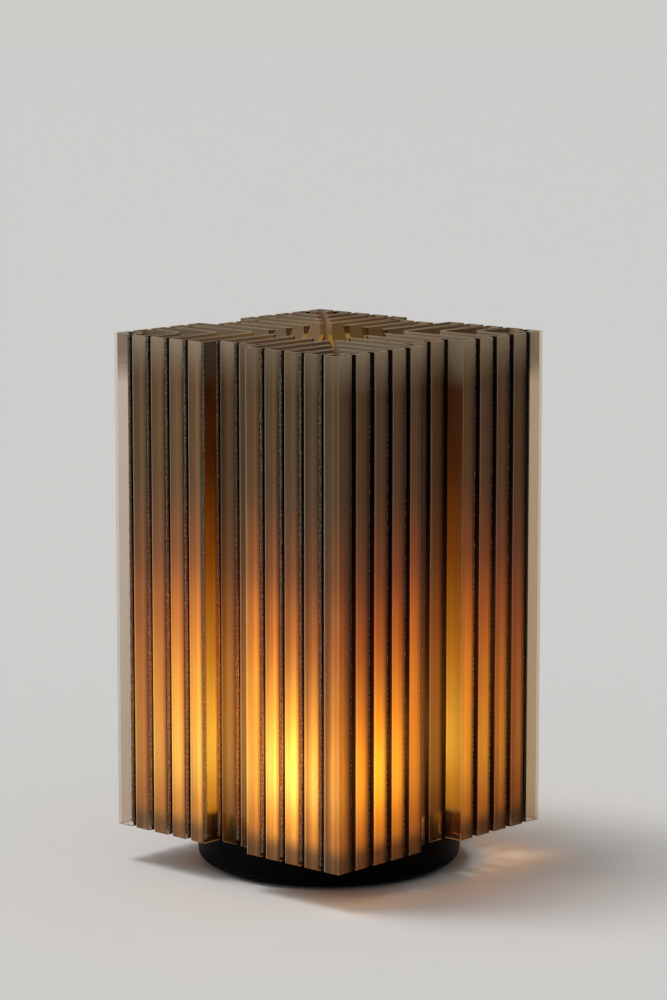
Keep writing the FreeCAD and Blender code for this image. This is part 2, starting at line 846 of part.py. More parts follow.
# Diffuser: an opal cap on the boss, clamped by a ring with its own screws
def domed_plug(name, radius, sphere_radius, low):
    """A round plug with a shallow spherical top."""
    top = boss_top + cell("diffuser_skirt") + cell("diffuser_rise")
    crown = diffuser_crown()
    bar = cylinder(name + "_bar", radius, low, top + overrun)
    ball = doc.addObject("Part::Sphere", name + "_ball")
    bind(ball, "Radius", sphere_radius)
    place(ball, ZERO, ZERO, top - crown)
    return common(name, [bar, ball])


def diffuser_crown():
    """The radius of the sphere that rises over the skirt."""
    rise = cell("diffuser_rise")
    return (diffuser_outer * diffuser_outer + rise * rise) / (2 * rise)


def make_diffuser():
    outside = domed_plug("diffuser_outside", diffuser_outer, diffuser_crown(), boss_top)
    flange = cylinder("diffuser_rim", diffuser_edge, boss_top, boss_top + cell("diffuser_flange_height"))
    hollow = domed_plug("diffuser_hollow", diffuser_inner, diffuser_crown() - cell("diffuser_wall"),
                        boss_top - overrun)
    return cut("diffuser", fuse("diffuser_mass", [outside, flange]), [hollow])


def make_ring():
    disc = cylinder("ring_disc", ring_outer, boss_top, ring_top)
    seat = cylinder("ring_seat", ring_seat_radius, boss_top - overrun,
                    boss_top + cell("diffuser_flange_height"))
    bore = cylinder("ring_bore", diffuser_outer + cell("ring_play"), boss_top - overrun, ring_top + overrun)
    holes = [seat, bore]
    for index, (x, y) in enumerate(screw_ring(ring_screw_circle)):
        holes.append(cylinder(f"ring_hole_{index}", cell("small_screw_radius") + cell("screw_hole_play"),
                              boss_top - overrun, ring_top + overrun, x, y))
    return cut("diffuser_ring", disc, holes)


def make_ring_screws():
    sizes = (cell("small_screw_radius"), cell("small_screw_head"), cell("small_screw_head_height"))
    return pan_screws("ring_screws", screw_ring(ring_screw_circle), sizes, ring_top,
                      boss_top - cell("ring_screw_bite"))


# Leads: each rises from its start, bends over and comes down on its end
def make_lead(name, across, start, end, crest):
    """A round wire between two places given as (y, z), over a crest at the given height."""
    bend = cell("lead_bend").value
    x = across.value
    (start_y, start_z), (end_y, end_z) = [(y.value, z.value) for y, z in (start, end)]
    way = math.copysign(1, end_y - start_y)
    lean = bend * math.sqrt(0.5)
    top = crest.value
    up = Vector(x, start_y, top - bend)
    over = Vector(x, start_y + way * bend, top)
    across_end = Vector(x, end_y - way * bend, top)
    down = Vector(x, end_y, top - bend)
    first_middle = Vector(x, start_y + way * (bend - lean), top - bend + lean)
    last_middle = Vector(x, end_y - way * (bend - lean), top - bend + lean)
    path = Part.Wire([
        Part.LineSegment(Vector(x, start_y, start_z), up).toShape(),
        Part.Arc(up, first_middle, over).toShape(),
        Part.LineSegment(over, across_end).toShape(),
        Part.Arc(across_end, last_middle, down).toShape(),
        Part.LineSegment(down, Vector(x, end_y, end_z)).toShape(),
    ])
    foot = Vector(x, start_y, start_z)
    section = Part.Wire(Part.makeCircle(cell("lead_radius").value, foot, Vector(0, 0, 1)))
    lead = doc.addObject("Part::Feature", name)
    lead.Shape = path.makePipeShell([section], True, False)
    return lead


def make_leads():
    plug_top = board_top + cell("plug_height")
    guard_top = guard_under() + cell("guard_height")
    guard_middle = (guard_rear + pouch_rear) / 2
    battery_crest = plug_top + cell("lead_bend") + cell("lead_rise")
    led_crest = led_board_top + cell("lead_bend") + cell("led_lead_rise")
    led_pad = led_board_radius - cell("led_pad_inset")
    leads = []
    for colour, across in (("red", -lead_reach), ("black", lead_reach)):
        leads.append(make_lead(f"battery_lead_{colour}", across, (guard_middle, guard_top),
                               (plug_middle, plug_top), battery_crest))
        leads.append(make_lead(f"led_lead_{colour}", across, (lead_back, plug_top),
                               (led_pad, led_board_top), led_crest))
    return leads


nodes = [
    make_shade(),
    make_housing(),
    make_plate(),
    make_plate_screws(),
    make_foot(),
    make_pouch(),
    make_pouch_pad(),
    make_guard(),
    make_board(),
    make_board_screws(),
    make_board_parts(),
    make_plugs(),
    make_usb_shell(),
    make_usb_tongue(),
    make_switch(),
    make_plunger(),
    make_button(),
    make_charge_light(),
    pierced_disc("heat_spreader", spreader_radius, boss_top, spreader_top),
    pierced_disc("thermal_pad", led_board_radius - cell("thermal_pad_margin"), spreader_top, pad_top),
    pierced_disc("led_board", led_board_radius, pad_top, led_board_top),
    make_leds(),
    make_led_screws(),
    make_diffuser(),
    make_ring(),
    make_ring_screws(),
] + make_leads()

doc.recompute()

failed = [item.Name for item in doc.Objects if {"Invalid", "Error"} & set(item.State)]
if failed:
    raise RuntimeError("not built: " + ", ".join(failed))
for node in nodes:
    if node.Shape.isNull() or not node.Shape.isValid() or not node.Shape.Solids:
        raise RuntimeError("no sound solid: " + node.Label)

os.makedirs("parts", exist_ok=True)
for node in nodes:
    node.Shape.exportStep(os.path.join("parts", node.Label + ".step"))
    print(node.Label, len(node.Shape.Solids), "solids", round(node.Shape.Volume, 1), "mm3")
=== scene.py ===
import math

import bpy
import mathutils
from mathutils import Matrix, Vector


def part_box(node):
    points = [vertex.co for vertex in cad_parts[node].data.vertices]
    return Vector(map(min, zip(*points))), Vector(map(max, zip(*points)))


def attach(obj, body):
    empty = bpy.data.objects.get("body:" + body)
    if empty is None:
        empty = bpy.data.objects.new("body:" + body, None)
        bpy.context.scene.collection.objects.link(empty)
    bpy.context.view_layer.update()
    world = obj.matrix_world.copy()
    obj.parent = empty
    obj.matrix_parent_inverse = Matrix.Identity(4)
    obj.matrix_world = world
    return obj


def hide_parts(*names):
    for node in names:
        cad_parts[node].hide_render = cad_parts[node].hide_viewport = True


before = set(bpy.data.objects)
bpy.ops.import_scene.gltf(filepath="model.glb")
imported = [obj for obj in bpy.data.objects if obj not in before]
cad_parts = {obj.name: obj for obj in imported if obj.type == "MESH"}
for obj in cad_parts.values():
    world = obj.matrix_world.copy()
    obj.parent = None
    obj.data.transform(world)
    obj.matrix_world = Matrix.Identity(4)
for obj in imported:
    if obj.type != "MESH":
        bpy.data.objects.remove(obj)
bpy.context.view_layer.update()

# Camera
# A short tele lens a little above the lamp, turned to look at the shade's front corner, so that two sides
# of the shade show and the bench fills the whole picture.
lens = bpy.data.cameras.new("bench_camera")
lens.lens = 131.19
lens.sensor_width = 36.0
lens.clip_end = 200.0
camera = bpy.data.objects.new("bench_camera", lens)
camera.location = (0.9472, -1.0295, 0.3666)
lamp_middle = mathutils.Vector((0.0013, 0.0012, 0.1427))
camera.rotation_euler = (lamp_middle - camera.location).to_track_quat("-Z", "Y").to_euler()
bpy.context.scene.collection.objects.link(camera)
bpy.context.scene.camera = camera


# Bottom plate
# A steel disc that closes the base and weighs it down. It is cut from sheet, powder coated black, and held
# up into the housing by three countersunk screws.
def fine_grain_group():
    """Fine speckle on any finish: a colour and a roughness between two ends, and a height for the bump."""
    group = bpy.data.node_groups.new("fine_grain", "ShaderNodeTree")
    sockets = (
        ("Grain", "INPUT", "NodeSocketFloat"),
        ("Dark", "INPUT", "NodeSocketColor"),
        ("Light", "INPUT", "NodeSocketColor"),
        ("Smooth", "INPUT", "NodeSocketFloat"),
        ("Rough", "INPUT", "NodeSocketFloat"),
        ("Color", "OUTPUT", "NodeSocketColor"),
        ("Roughness", "OUTPUT", "NodeSocketFloat"),
        ("Height", "OUTPUT", "NodeSocketFloat"),
    )
    for label, way, kind in sockets:
        group.interface.new_socket(label, in_out=way, socket_type=kind)
    given = group.nodes.new("NodeGroupInput")
    result = group.nodes.new("NodeGroupOutput")
    coords = group.nodes.new("ShaderNodeTexCoord")
    fine = group.nodes.new("ShaderNodeTexNoise")
    fine.inputs["Detail"].default_value = 3.0
    cloud = group.nodes.new("ShaderNodeTexNoise")
    cloud.inputs["Scale"].default_value = 60.0
    cloud.inputs["Detail"].default_value = 4.0
    blend = group.nodes.new("ShaderNodeMath")
    blend.operation = "MULTIPLY_ADD"
    blend.inputs[1].default_value = 0.5
    half = group.nodes.new("ShaderNodeMath")
    half.operation = "MULTIPLY"
    half.inputs[1].default_value = 0.5
    tone = group.nodes.new("ShaderNodeMix")
    tone.data_type = "RGBA"
    gloss = group.nodes.new("ShaderNodeMix")
    for node in (fine, cloud):
        group.links.new(coords.outputs["Object"], node.inputs["Vector"])
    group.links.new(given.outputs["Grain"], fine.inputs["Scale"])
    group.links.new(cloud.outputs["Fac"], half.inputs[0])
    group.links.new(fine.outputs["Fac"], blend.inputs[0])
    group.links.new(half.outputs[0], blend.inputs[2])
    group.links.new(blend.outputs[0], tone.inputs["Factor"])
    group.links.new(given.outputs["Dark"], tone.inputs["A"])
    group.links.new(given.outputs["Light"], tone.inputs["B"])
    group.links.new(cloud.outputs["Fac"], gloss.inputs["Factor"])
    group.links.new(given.outputs["Smooth"], gloss.inputs["A"])
    group.links.new(given.outputs["Rough"], gloss.inputs["B"])
    group.links.new(tone.outputs["Result"], result.inputs["Color"])
    group.links.new(gloss.outputs["Result"], result.inputs["Roughness"])
    group.links.new(fine.outputs["Fac"], result.inputs["Height"])
    return group


fine_grain = fine_grain_group()


def grained_finish(name, grain, dark, light, roughness, bump, metallic=0.0):
    """A finish with fine grain: colours between dark and light, roughness between two ends."""
    material = bpy.data.materials.new(name)
    material.use_nodes = True
    tree = material.node_tree
    shader = tree.nodes["Principled BSDF"]
    speckle = tree.nodes.new("ShaderNodeGroup")
    speckle.node_tree = fine_grain
    speckle.inputs["Grain"].default_value = grain
    speckle.inputs["Dark"].default_value = (*dark, 1.0)
    speckle.inputs["Light"].default_value = (*light, 1.0)
    speckle.inputs["Smooth"].default_value = roughness[0]
    speckle.inputs["Rough"].default_value = roughness[1]
    relief = tree.nodes.new("ShaderNodeBump")
    relief.inputs["Distance"].default_value = bump
    tree.links.new(speckle.outputs["Color"], shader.inputs["Base Color"])
    tree.links.new(speckle.outputs["Roughness"], shader.inputs["Roughness"])
    tree.links.new(speckle.outputs["Height"], relief.inputs["Height"])
    tree.links.new(relief.outputs["Normal"], shader.inputs["Normal"])
    shader.inputs["Metallic"].default_value = metallic
    return material


def dress(node_name, material):
    """Gives one CAD piece its finish."""
    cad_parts[node_name].material_slots[0].material = material


powder_coat = grained_finish("powder_coat", 2600.0, (0.010, 0.010, 0.010), (0.030, 0.030, 0.031),
                             (0.42, 0.60), 0.00006)
dress("bottom_plate", powder_coat)

# Foot ring
# A flat ring of black rubber, punched from sheet and glued under the plate, so that the lamp doesn't slide.
rubber = grained_finish("foot_rubber", 3500.0, (0.012, 0.012, 0.012), (0.035, 0.034, 0.033),
                        (0.75, 0.95), 0.00005)
dress("foot_ring", rubber)


# Plate screws
# Three zinc-plated steel screws with countersunk heads and hexagon sockets, driven up through the plate
# into the housing's pillars.
def only_select(piece):
    """Makes one piece the only selected and the active one."""
    bpy.ops.object.select_all(action="DESELECT")
    piece.select_set(True)
    bpy.context.view_layer.objects.active = piece


def screw_thread(radius, pitch, turns, top, sides=24):
    """A shank of thread ridges below top, on the Z axis."""
    bpy.ops.object.select_all(action="DESELECT")
    root = radius * 0.8
    weld = pitch / 50
    bpy.ops.mesh.primitive_cone_add(vertices=sides, radius1=root, radius2=radius, depth=pitch / 2,
                                    end_fill_type="NOTHING", location=(0, 0, top - pitch * 0.75))
    ridge = bpy.context.object
    bpy.ops.object.mode_set(mode="EDIT")
    bpy.ops.mesh.primitive_cone_add(vertices=sides, radius1=radius, radius2=root, depth=pitch / 2,
                                    end_fill_type="NOTHING", location=(0, 0, top - pitch * 0.25))
    bpy.ops.mesh.select_all(action="SELECT")
    bpy.ops.mesh.remove_doubles(threshold=weld)
    bpy.ops.object.mode_set(mode="OBJECT")
    bpy.ops.object.transform_apply(location=True, rotation=True, scale=True)
    stack = ridge.modifiers.new("turns", "ARRAY")
    stack.count = turns
    stack.use_relative_offset = False
    stack.use_constant_offset = True
    stack.constant_offset_displace = (0, 0, -pitch)
    stack.use_merge_vertices = True
    stack.merge_threshold = weld
    bpy.ops.object.modifier_apply(modifier="turns")
    bpy.ops.object.mode_set(mode="EDIT")
    bpy.ops.mesh.select_all(action="SELECT")
    bpy.ops.mesh.region_to_loop()
    bpy.ops.mesh.edge_face_add()
    bpy.ops.mesh.select_all(action="SELECT")
    bpy.ops.mesh.normals_make_consistent(inside=False)
    bpy.ops.object.mode_set(mode="OBJECT")
    return ridge


def cut_out(piece, cutter):
    """Cuts one shape out of another and deletes the cutter."""
    only_select(piece)
    cut = piece.modifiers.new("cut", "BOOLEAN")
    cut.operation = "DIFFERENCE"
    cut.object = cutter
    bpy.ops.object.modifier_apply(modifier="cut")
    only_select(cutter)
    bpy.ops.object.delete()


def screw_group(name, head, thread, places, turned_over):
    """Joins a head and a thread, sets a copy at each place and joins the copies into one piece."""
    bpy.ops.object.select_all(action="DESELECT")
    thread.select_set(True)
    head.select_set(True)
    bpy.context.view_layer.objects.active = head
    bpy.ops.object.join()
    if turned_over:
        bpy.ops.transform.rotate(value=math.pi, orient_axis="X", center_override=(0, 0, 0))
        bpy.ops.object.transform_apply(location=True, rotation=True, scale=True)
    copies = []
    for spot in places:
        only_select(head)
        bpy.ops.object.duplicate()
        bpy.ops.transform.translate(value=spot)
        bpy.ops.object.transform_apply(location=True, rotation=True, scale=True)
        copies.append(bpy.context.object)
    only_select(head)
    bpy.ops.object.delete()
    bpy.ops.object.select_all(action="DESELECT")
    for copy in copies:
        copy.select_set(True)
    bpy.context.view_layer.objects.active = copies[0]
    bpy.ops.object.join()
    group = bpy.context.object
    group.name = name
    bpy.ops.object.shade_smooth_by_angle(angle=math.radians(35))
    return group


def ring_places(radius, height):
    """Three places on a circle about the lamp's axis."""
    spots = []
    for turn in (30, 150, 270):
        angle = math.radians(turn)
        spots.append((radius * math.cos(angle), radius * math.sin(angle), height))
    return spots


plated_steel = grained_finish("plated_steel", 1800.0, (0.36, 0.36, 0.37), (0.56, 0.56, 0.55),
                              (0.24, 0.40), 0.00002, metallic=1.0)
plate_low, plate_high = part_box("plate_screws")
screw_length = plate_high[2] - plate_low[2]
countersink = 0.0013
sunk_head_radius = 0.0028
shank_radius = 0.0015
shank_pitch = 0.0005
hexagon_radius = 0.00115
hexagon_depth = 0.0018
plate_circle = 0.0425
bpy.ops.object.select_all(action="DESELECT")
bpy.ops.mesh.primitive_cone_add(vertices=40, radius1=shank_radius, radius2=sunk_head_radius,
                                depth=countersink, location=(0, 0, -countersink / 2))
sunk_head = bpy.context.object
bpy.ops.object.transform_apply(location=True, rotation=True, scale=True)
bpy.ops.mesh.primitive_cylinder_add(vertices=6, radius=hexagon_radius, depth=hexagon_depth,
                                    location=(0, 0, 0))
cut_out(sunk_head, bpy.context.object)
shank_turns = round((screw_length - countersink) / shank_pitch)
sunk_thread = screw_thread(shank_radius, shank_pitch, shank_turns, -countersink)
plate_screws = screw_group("plate_screws_socket_head", sunk_head, sunk_thread,
                           ring_places(plate_circle, plate_low[2]), turned_over=True)
plate_screws.data.materials.append(plated_steel)
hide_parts("plate_screws")
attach(plate_screws, "base")

# Housing
# The lamp's black base: a moulded cup with a softly rounded foot, a shoulder that the shade stands on and a
# boss inside it. Its skin has the fine matte spark-eroded grain of the mould.
black_plastic = grained_finish("black_plastic", 4200.0, (0.0018, 0.0018, 0.0018), (0.0045, 0.0043, 0.0042),
                               (0.38, 0.52), 0.00004)
black_plastic.node_tree.nodes["Principled BSDF"].inputs["Specular IOR Level"].default_value = 0.02
dress("base_housing", black_plastic)

# Battery
# A flat lithium pouch in satin foil, with a guard board across its tab end. It lies on a sheet of dark foam,
# which is cut with a knife and stuck to the plate.
foil = grained_finish("cell_foil", 420.0, (0.55, 0.56, 0.58), (0.72, 0.73, 0.75), (0.22, 0.42), 0.00025,
                      metallic=1.0)
dress("battery_pouch", foil)
pad_low, pad_high = (mathutils.Vector(corner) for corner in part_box("battery_pad"))
pad_size = pad_high - pad_low
knife_edge = 0.0003
pore_size = 0.004
pore_depth = 0.00012
bpy.ops.object.select_all(action="DESELECT")
bpy.ops.mesh.primitive_cube_add(size=1.0, location=(pad_low + pad_high) / 2)
foam_pad = bpy.context.object
foam_pad.name = "battery_foam"
foam_pad.scale = pad_size
bpy.ops.object.transform_apply(location=True, rotation=True, scale=True)
bpy.ops.object.mode_set(mode="EDIT")
bpy.ops.mesh.select_all(action="SELECT")
bpy.ops.mesh.bevel(offset=knife_edge, segments=3, affect="EDGES")
bpy.ops.mesh.select_all(action="SELECT")
bpy.ops.mesh.subdivide(number_cuts=5)
bpy.ops.object.mode_set(mode="OBJECT")
bpy.ops.object.transform_apply(location=True, rotation=True, scale=True)
pores = bpy.data.textures.new("foam_pores", "CLOUDS")
pores.noise_scale = pore_size
swell = foam_pad.modifiers.new("swell", "DISPLACE")
swell.texture = pores
swell.strength = pore_depth
swell.mid_level = 1.0
bpy.ops.object.modifier_apply(modifier="swell")
bpy.ops.object.shade_smooth_by_angle(angle=math.radians(40))
foam = grained_finish("battery_foam", 2200.0, (0.030, 0.030, 0.032), (0.075, 0.075, 0.078),
                      (0.85, 0.98), 0.0002)
foam_pad.data.materials.append(foam)
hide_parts("battery_pad")
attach(foam_pad, "base")


# Circuit boards
# Glass-fibre boards under green lacquer: the charging board, screwed up to two pillars, and the guard board
# on the cell. Copper tracks show as paler lines through the lacquer.
def lacquered_board(name, ground, track):
    """Coloured lacquer over a grid of copper tracks."""
    material = grained_finish(name, 900.0, ground, ground, (0.28, 0.40), 0.00001)
    tree = material.node_tree
    shader = tree.nodes["Principled BSDF"]
    coords = tree.nodes.new("ShaderNodeTexCoord")
    tracks = tree.nodes.new("ShaderNodeTexBrick")
    tracks.inputs["Scale"].default_value = 260.0
    tracks.inputs["Mortar Size"].default_value = 0.045
    tracks.inputs["Color1"].default_value = (*ground, 1.0)
    tracks.inputs["Color2"].default_value = (*[0.8 * part for part in ground], 1.0)
    tracks.inputs["Mortar"].default_value = (*track, 1.0)
    tree.links.new(coords.outputs["Object"], tracks.inputs["Vector"])
    tree.links.new(tracks.outputs["Color"], shader.inputs["Base Color"])
    return material


green_board = lacquered_board("green_board", (0.012, 0.085, 0.035), (0.045, 0.20, 0.07))
dress("main_board", green_board)
dress("battery_guard", green_board)
epoxy = grained_finish("moulded_epoxy", 3000.0, (0.012, 0.012, 0.013), (0.030, 0.030, 0.030),
                       (0.45, 0.62), 0.00003)
for node_name in ("board_parts", "usb_tongue", "tact_switch"):
    dress(node_name, epoxy)
nylon = grained_finish("white_nylon", 1500.0, (0.62, 0.60, 0.55), (0.78, 0.76, 0.71), (0.35, 0.50), 0.00002)
dress("lead_plugs", nylon)
dress("switch_plunger", nylon)


# Board screws
# Two small pan-head screws with cross recesses, driven up through the charging board into its pillars.
def pan_head(radius, height):
    """A pan head, its seat at z = 0, rounded over and cut with a cross recess."""
    rounding = height * 0.45
    blade_size = (radius * 1.15, radius * 0.28, height * 1.1)
    bpy.ops.object.select_all(action="DESELECT")
    bpy.ops.mesh.primitive_cylinder_add(vertices=40, radius=radius, depth=height, location=(0, 0, height / 2))
    head = bpy.context.object
    bpy.ops.object.transform_apply(location=True, rotation=True, scale=True)
    bpy.ops.object.mode_set(mode="EDIT")
    bpy.ops.mesh.select_mode(type="EDGE")
    bpy.ops.mesh.select_all(action="DESELECT")
    bpy.ops.object.mode_set(mode="OBJECT")
    for edge in head.data.edges:
        ends = [head.data.vertices[index].co.z for index in edge.vertices]
        edge.select = min(ends) > height * 0.9
    bpy.ops.object.mode_set(mode="EDIT")
    bpy.ops.mesh.bevel(offset=rounding, segments=4, affect="EDGES")
    bpy.ops.object.mode_set(mode="OBJECT")
    for turn in (0.0, math.pi / 2):
        bpy.ops.object.select_all(action="DESELECT")
        bpy.ops.mesh.primitive_cube_add(size=1.0, location=(0, 0, height))
        blade = bpy.context.object
        blade.scale = blade_size
        blade.rotation_euler = (0, 0, turn)
        bpy.ops.object.transform_apply(location=True, rotation=True, scale=True)
        cut_out(head, blade)
    return head


board_low, board_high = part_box("board_screws")
small_head = 0.0018
small_head_height = 0.0012
small_shank = 0.001
small_pitch = 0.0004
board_turns = round((board_high[2] - board_low[2] - small_head_height) / small_pitch)
board_spots = []
for across in (board_low[0] + small_head, board_high[0] - small_head):
    board_spots.append((across, (board_low[1] + board_high[1]) / 2, board_low[2] + small_head_height))
board_screws = screw_group("board_screws_cross_head", pan_head(small_head, small_head_height),
                           screw_thread(small_shank, small_pitch, board_turns, 0.0),
                           board_spots, turned_over=True)
board_screws.data.materials.append(plated_steel)
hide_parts("board_screws")
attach(board_screws, "base")

# Rear controls
# The charging socket is a drawn shell of bright nickel-plated steel. The round power button is moulded in the
# housing's black plastic, and a clear moulded pipe brings the charge light out between them.
bright_nickel = grained_finish("bright_nickel", 900.0, (0.60, 0.59, 0.57), (0.74, 0.73, 0.71),
                               (0.14, 0.26), 0.00001, metallic=1.0)
dress("usb_socket", bright_nickel)
button_plastic = grained_finish("button_plastic", 3600.0, (0.006, 0.006, 0.006), (0.012, 0.012, 0.012),
                                (0.30, 0.42), 0.00003)
dress("power_button", button_plastic)
light_pipe = grained_finish("light_pipe", 700.0, (0.72, 0.78, 0.74), (0.84, 0.88, 0.85),
                            (0.08, 0.18), 0.00001)
light_pipe.node_tree.nodes["Principled BSDF"].inputs["Alpha"].default_value = 0.6
dress("charge_light", light_pipe)


# Light source
# A turned aluminium disc spreads the heat over the boss. On it lie a grey thermal sheet and a white
# metal-core board with six warm diodes, held down by three pan-head screws.
def turned_face(name, dark, light, pitch, metallic):
    """Bare or lacquered metal with the fine rings that turning leaves."""
    material = grained_finish(name, 1500.0, dark, light, (0.25, 0.38), 0.00001, metallic=metallic)
    tree = material.node_tree
    coords = tree.nodes.new("ShaderNodeTexCoord")
    rings = tree.nodes.new("ShaderNodeTexWave")
    rings.wave_type = "RINGS"
    rings.rings_direction = "Z"
    rings.inputs["Scale"].default_value = 0.31 / pitch
    rings.inputs["Distortion"].default_value = 0.4
    tree.links.new(coords.outputs["Object"], rings.inputs["Vector"])
    tree.links.new(rings.outputs["Fac"], tree.nodes["Bump"].inputs["Height"])
    return material


dress("heat_spreader", turned_face("turned_aluminium", (0.62, 0.62, 0.63), (0.78, 0.78, 0.79), 0.0004, 1.0))
dress("thermal_pad", grained_finish("thermal_sheet", 1300.0, (0.20, 0.21, 0.23), (0.32, 0.33, 0.35),
                                    (0.70, 0.85), 0.00006))
dress("led_board", turned_face("white_board", (0.70, 0.70, 0.68), (0.82, 0.82, 0.80), 0.0015, 0.0))
phosphor = grained_finish("phosphor", 2400.0, (0.80, 0.55, 0.10), (0.95, 0.72, 0.22), (0.35, 0.55), 0.00004)
phosphor_shader = phosphor.node_tree.nodes["Principled BSDF"]
phosphor_shader.inputs["Emission Color"].default_value = (1.0, 0.66, 0.28, 1.0)
phosphor_shader.inputs["Emission Strength"].default_value = 2.0
dress("led_chips", phosphor)
led_low, led_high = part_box("led_screws")
led_head = 0.0022
led_head_height = 0.0013
led_shank = 0.0012
led_pitch = 0.0005
led_circle = 0.0168
led_turns = round((led_high[2] - led_low[2] - led_head_height) / led_pitch)
led_screws = screw_group("led_screws_cross_head", pan_head(led_head, led_head_height),
                         screw_thread(led_shank, led_pitch, led_turns, 0.0),
                         ring_places(led_circle, led_high[2] - led_head_height), turned_over=False)
led_screws.data.materials.append(plated_steel)
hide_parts("led_screws")
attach(led_screws, "base")

# Leads
# Tinned strand in red and black silicone, soldered flat to their pads at one end and crimped into the white
# plugs at the other.
red_silicone = grained_finish("red_silicone", 1900.0, (0.34, 0.012, 0.010), (0.46, 0.024, 0.018),
                              (0.42, 0.58), 0.00003)
black_silicone = grained_finish("black_silicone", 1900.0, (0.010, 0.010, 0.010), (0.022, 0.022, 0.022),
                                (0.42, 0.58), 0.00003)
for pair in ("battery_lead", "led_lead"):
    dress(pair + "_red", red_silicone)
    dress(pair + "_black", black_silicone)

# Diffuser and its ring
# A moulded opal cap hides the diodes and glows evenly. A black ring with three small screws clamps its rim.
opal_foot = 0.024
opal_top = 0.045
ring_circle = 0.0370
opal = grained_finish("opal", 800.0, (0.80, 0.77, 0.70), (0.90, 0.88, 0.82), (0.30, 0.42), 0.00002)
opal_tree = opal.node_tree
opal_shader = opal_tree.nodes["Principled BSDF"]
opal_coords = opal_tree.nodes.new("ShaderNodeTexCoord")
opal_height = opal_tree.nodes.new("ShaderNodeSeparateXYZ")
opal_glow = opal_tree.nodes.new("ShaderNodeMapRange")
opal_glow.inputs["From Min"].default_value = opal_foot
opal_glow.inputs["From Max"].default_value = opal_top
opal_colours = opal_tree.nodes.new("ShaderNodeValToRGB")
opal_colours.color_ramp.elements[0].color = (0.55, 0.22, 0.04, 1.0)
opal_colours.color_ramp.elements[1].color = (1.0, 0.62, 0.20, 1.0)
opal_tree.links.new(opal_coords.outputs["Object"], opal_height.inputs[0])
opal_tree.links.new(opal_height.outputs["Z"], opal_glow.inputs["Value"])
opal_tree.links.new(opal_glow.outputs["Result"], opal_colours.inputs["Fac"])
opal_tree.links.new(opal_colours.outputs["Color"], opal_shader.inputs["Emission Color"])
opal_shader.inputs["Emission Strength"].default_value = 0.25
dress("diffuser", opal)
dress("diffuser_ring", black_plastic)
ring_low, ring_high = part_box("ring_screws")
ring_turns = round((ring_high[2] - ring_low[2] - small_head_height) / small_pitch)
ring_screws = screw_group("ring_screws_cross_head", pan_head(small_head, small_head_height),
                          screw_thread(small_shank, small_pitch, ring_turns, 0.0),
                          ring_places(ring_circle, ring_high[2] - small_head_height), turned_over=False)
ring_screws.data.materials.append(plated_steel)
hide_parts("ring_screws")
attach(ring_screws, "base")

# Shade
# One continuous wall of clear smoky-brown plastic, printed in a single spiral line and folded into deep
# pleats. The print's layers haze it, so each panel glows. On top of the real light, its colours hold painted
# light and shade: a painted glow that rises and fades with height, painted shade in the slots, the notches
# and on the right-hand sides, and painted highlights on the panels' left edges and towards the top.
shade_low, shade_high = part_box("shade")
shade_height = shade_high[2] - shade_low[2]
half_side = 0.0585
notch_face = 0.05125
notch_half = 0.0114
fold_pitch = 0.010
skin_depth = 0.0004
square_on = 0.7
wall_margin = 0.0010
corner_width = 0.0076
slot_half = 0.0019
slot_end = 0.0030
left_shade_depths = (0.0012, 0.0030, 0.0004)
right_shade_depths = (0.0004, 0.0032, 0.0003)
inner_shade_depths = (0.0003, 0.0030, 0.0006)
inner_shade_left = 0.75
inner_shade_right = 0.30
edge_highlight_span = (0.140, 0.168, 0.012)
end_panel = 0.0070
end_panel_stop = 0.34
boss_top = 0.0240
boss_softness = 0.0025
top_light_start = 0.91
top_light_curve = 1.5
top_light_share = 0.80
front_block_top_light_loss = 0.6
inner_top_light_start = 0.90
inner_top_light_span = 0.06
inner_end_reach = 0.0215
panel_haze = 0.78
notch_haze = 0.80
deep_haze = 0.10
corner_haze = 0.06
corner_shadow = 0.75
inner_top_light_haze = 0.60
boss_clearing = 0.85
top_haze = 0.9
slot_shade_haze = 0.95
edge_highlight_haze = 0.75
gloss_haze = 0.10
streak_stretch = (620.0, 620.0, 0.5)
streak_strength = 0.9
streak_floor = 0.55
notch_painted_glow_lift = 0.25
glow_half = 0.5
notch_x_wall_glow_share = 0.40
notch_y_wall_glow_share = 0.15
skin_brown = (0.480, 0.286, 0.138)
top_light_beige = (0.92, 0.77, 0.57)
right_side_painted_shade = (0.85, 0.72, 0.60)
front_block_painted_shade = (0.66, 0.70, 0.74)
notch_skin_painted_shade = (0.22, 0.08, 0.025)
notch_skin_painted_window_light = (0.36, 0.17, 0.08)
inner_end_shade_brown = (0.10, 0.07, 0.045)
edge_highlight_colour = (0.80, 0.68, 0.52)
top_face_frost_and_highlight = (0.85, 0.70, 0.50)
painted_slot_black = (0.010, 0.006, 0.004)
fold_tint = (0.76, 0.58, 0.44)
panel_tint = (0.955, 0.895, 0.845)
right_side_painted_glow_shade = (0.70, 0.52, 0.12)
notch_floor_painted_shade = (0.16, 0.14, 0.13)
notch_wall_glow_boost = (1.55, 1.70, 1.1)
glow_corner = (0.20, 0.16, 0.12)
top_light_glow = (0.62, 0.50, 0.35)
inner_top_light_glow = (0.20, 0.16, 0.11)
lit_left_corner_tint = ((0.0, (0.940, 0.892, 0.842)), (1.0, (0.995, 0.952, 0.918)))
shaded_right_corner_tint = ((0.0, (0.915, 0.845, 0.750)), (1.0, (0.930, 0.870, 0.785)))
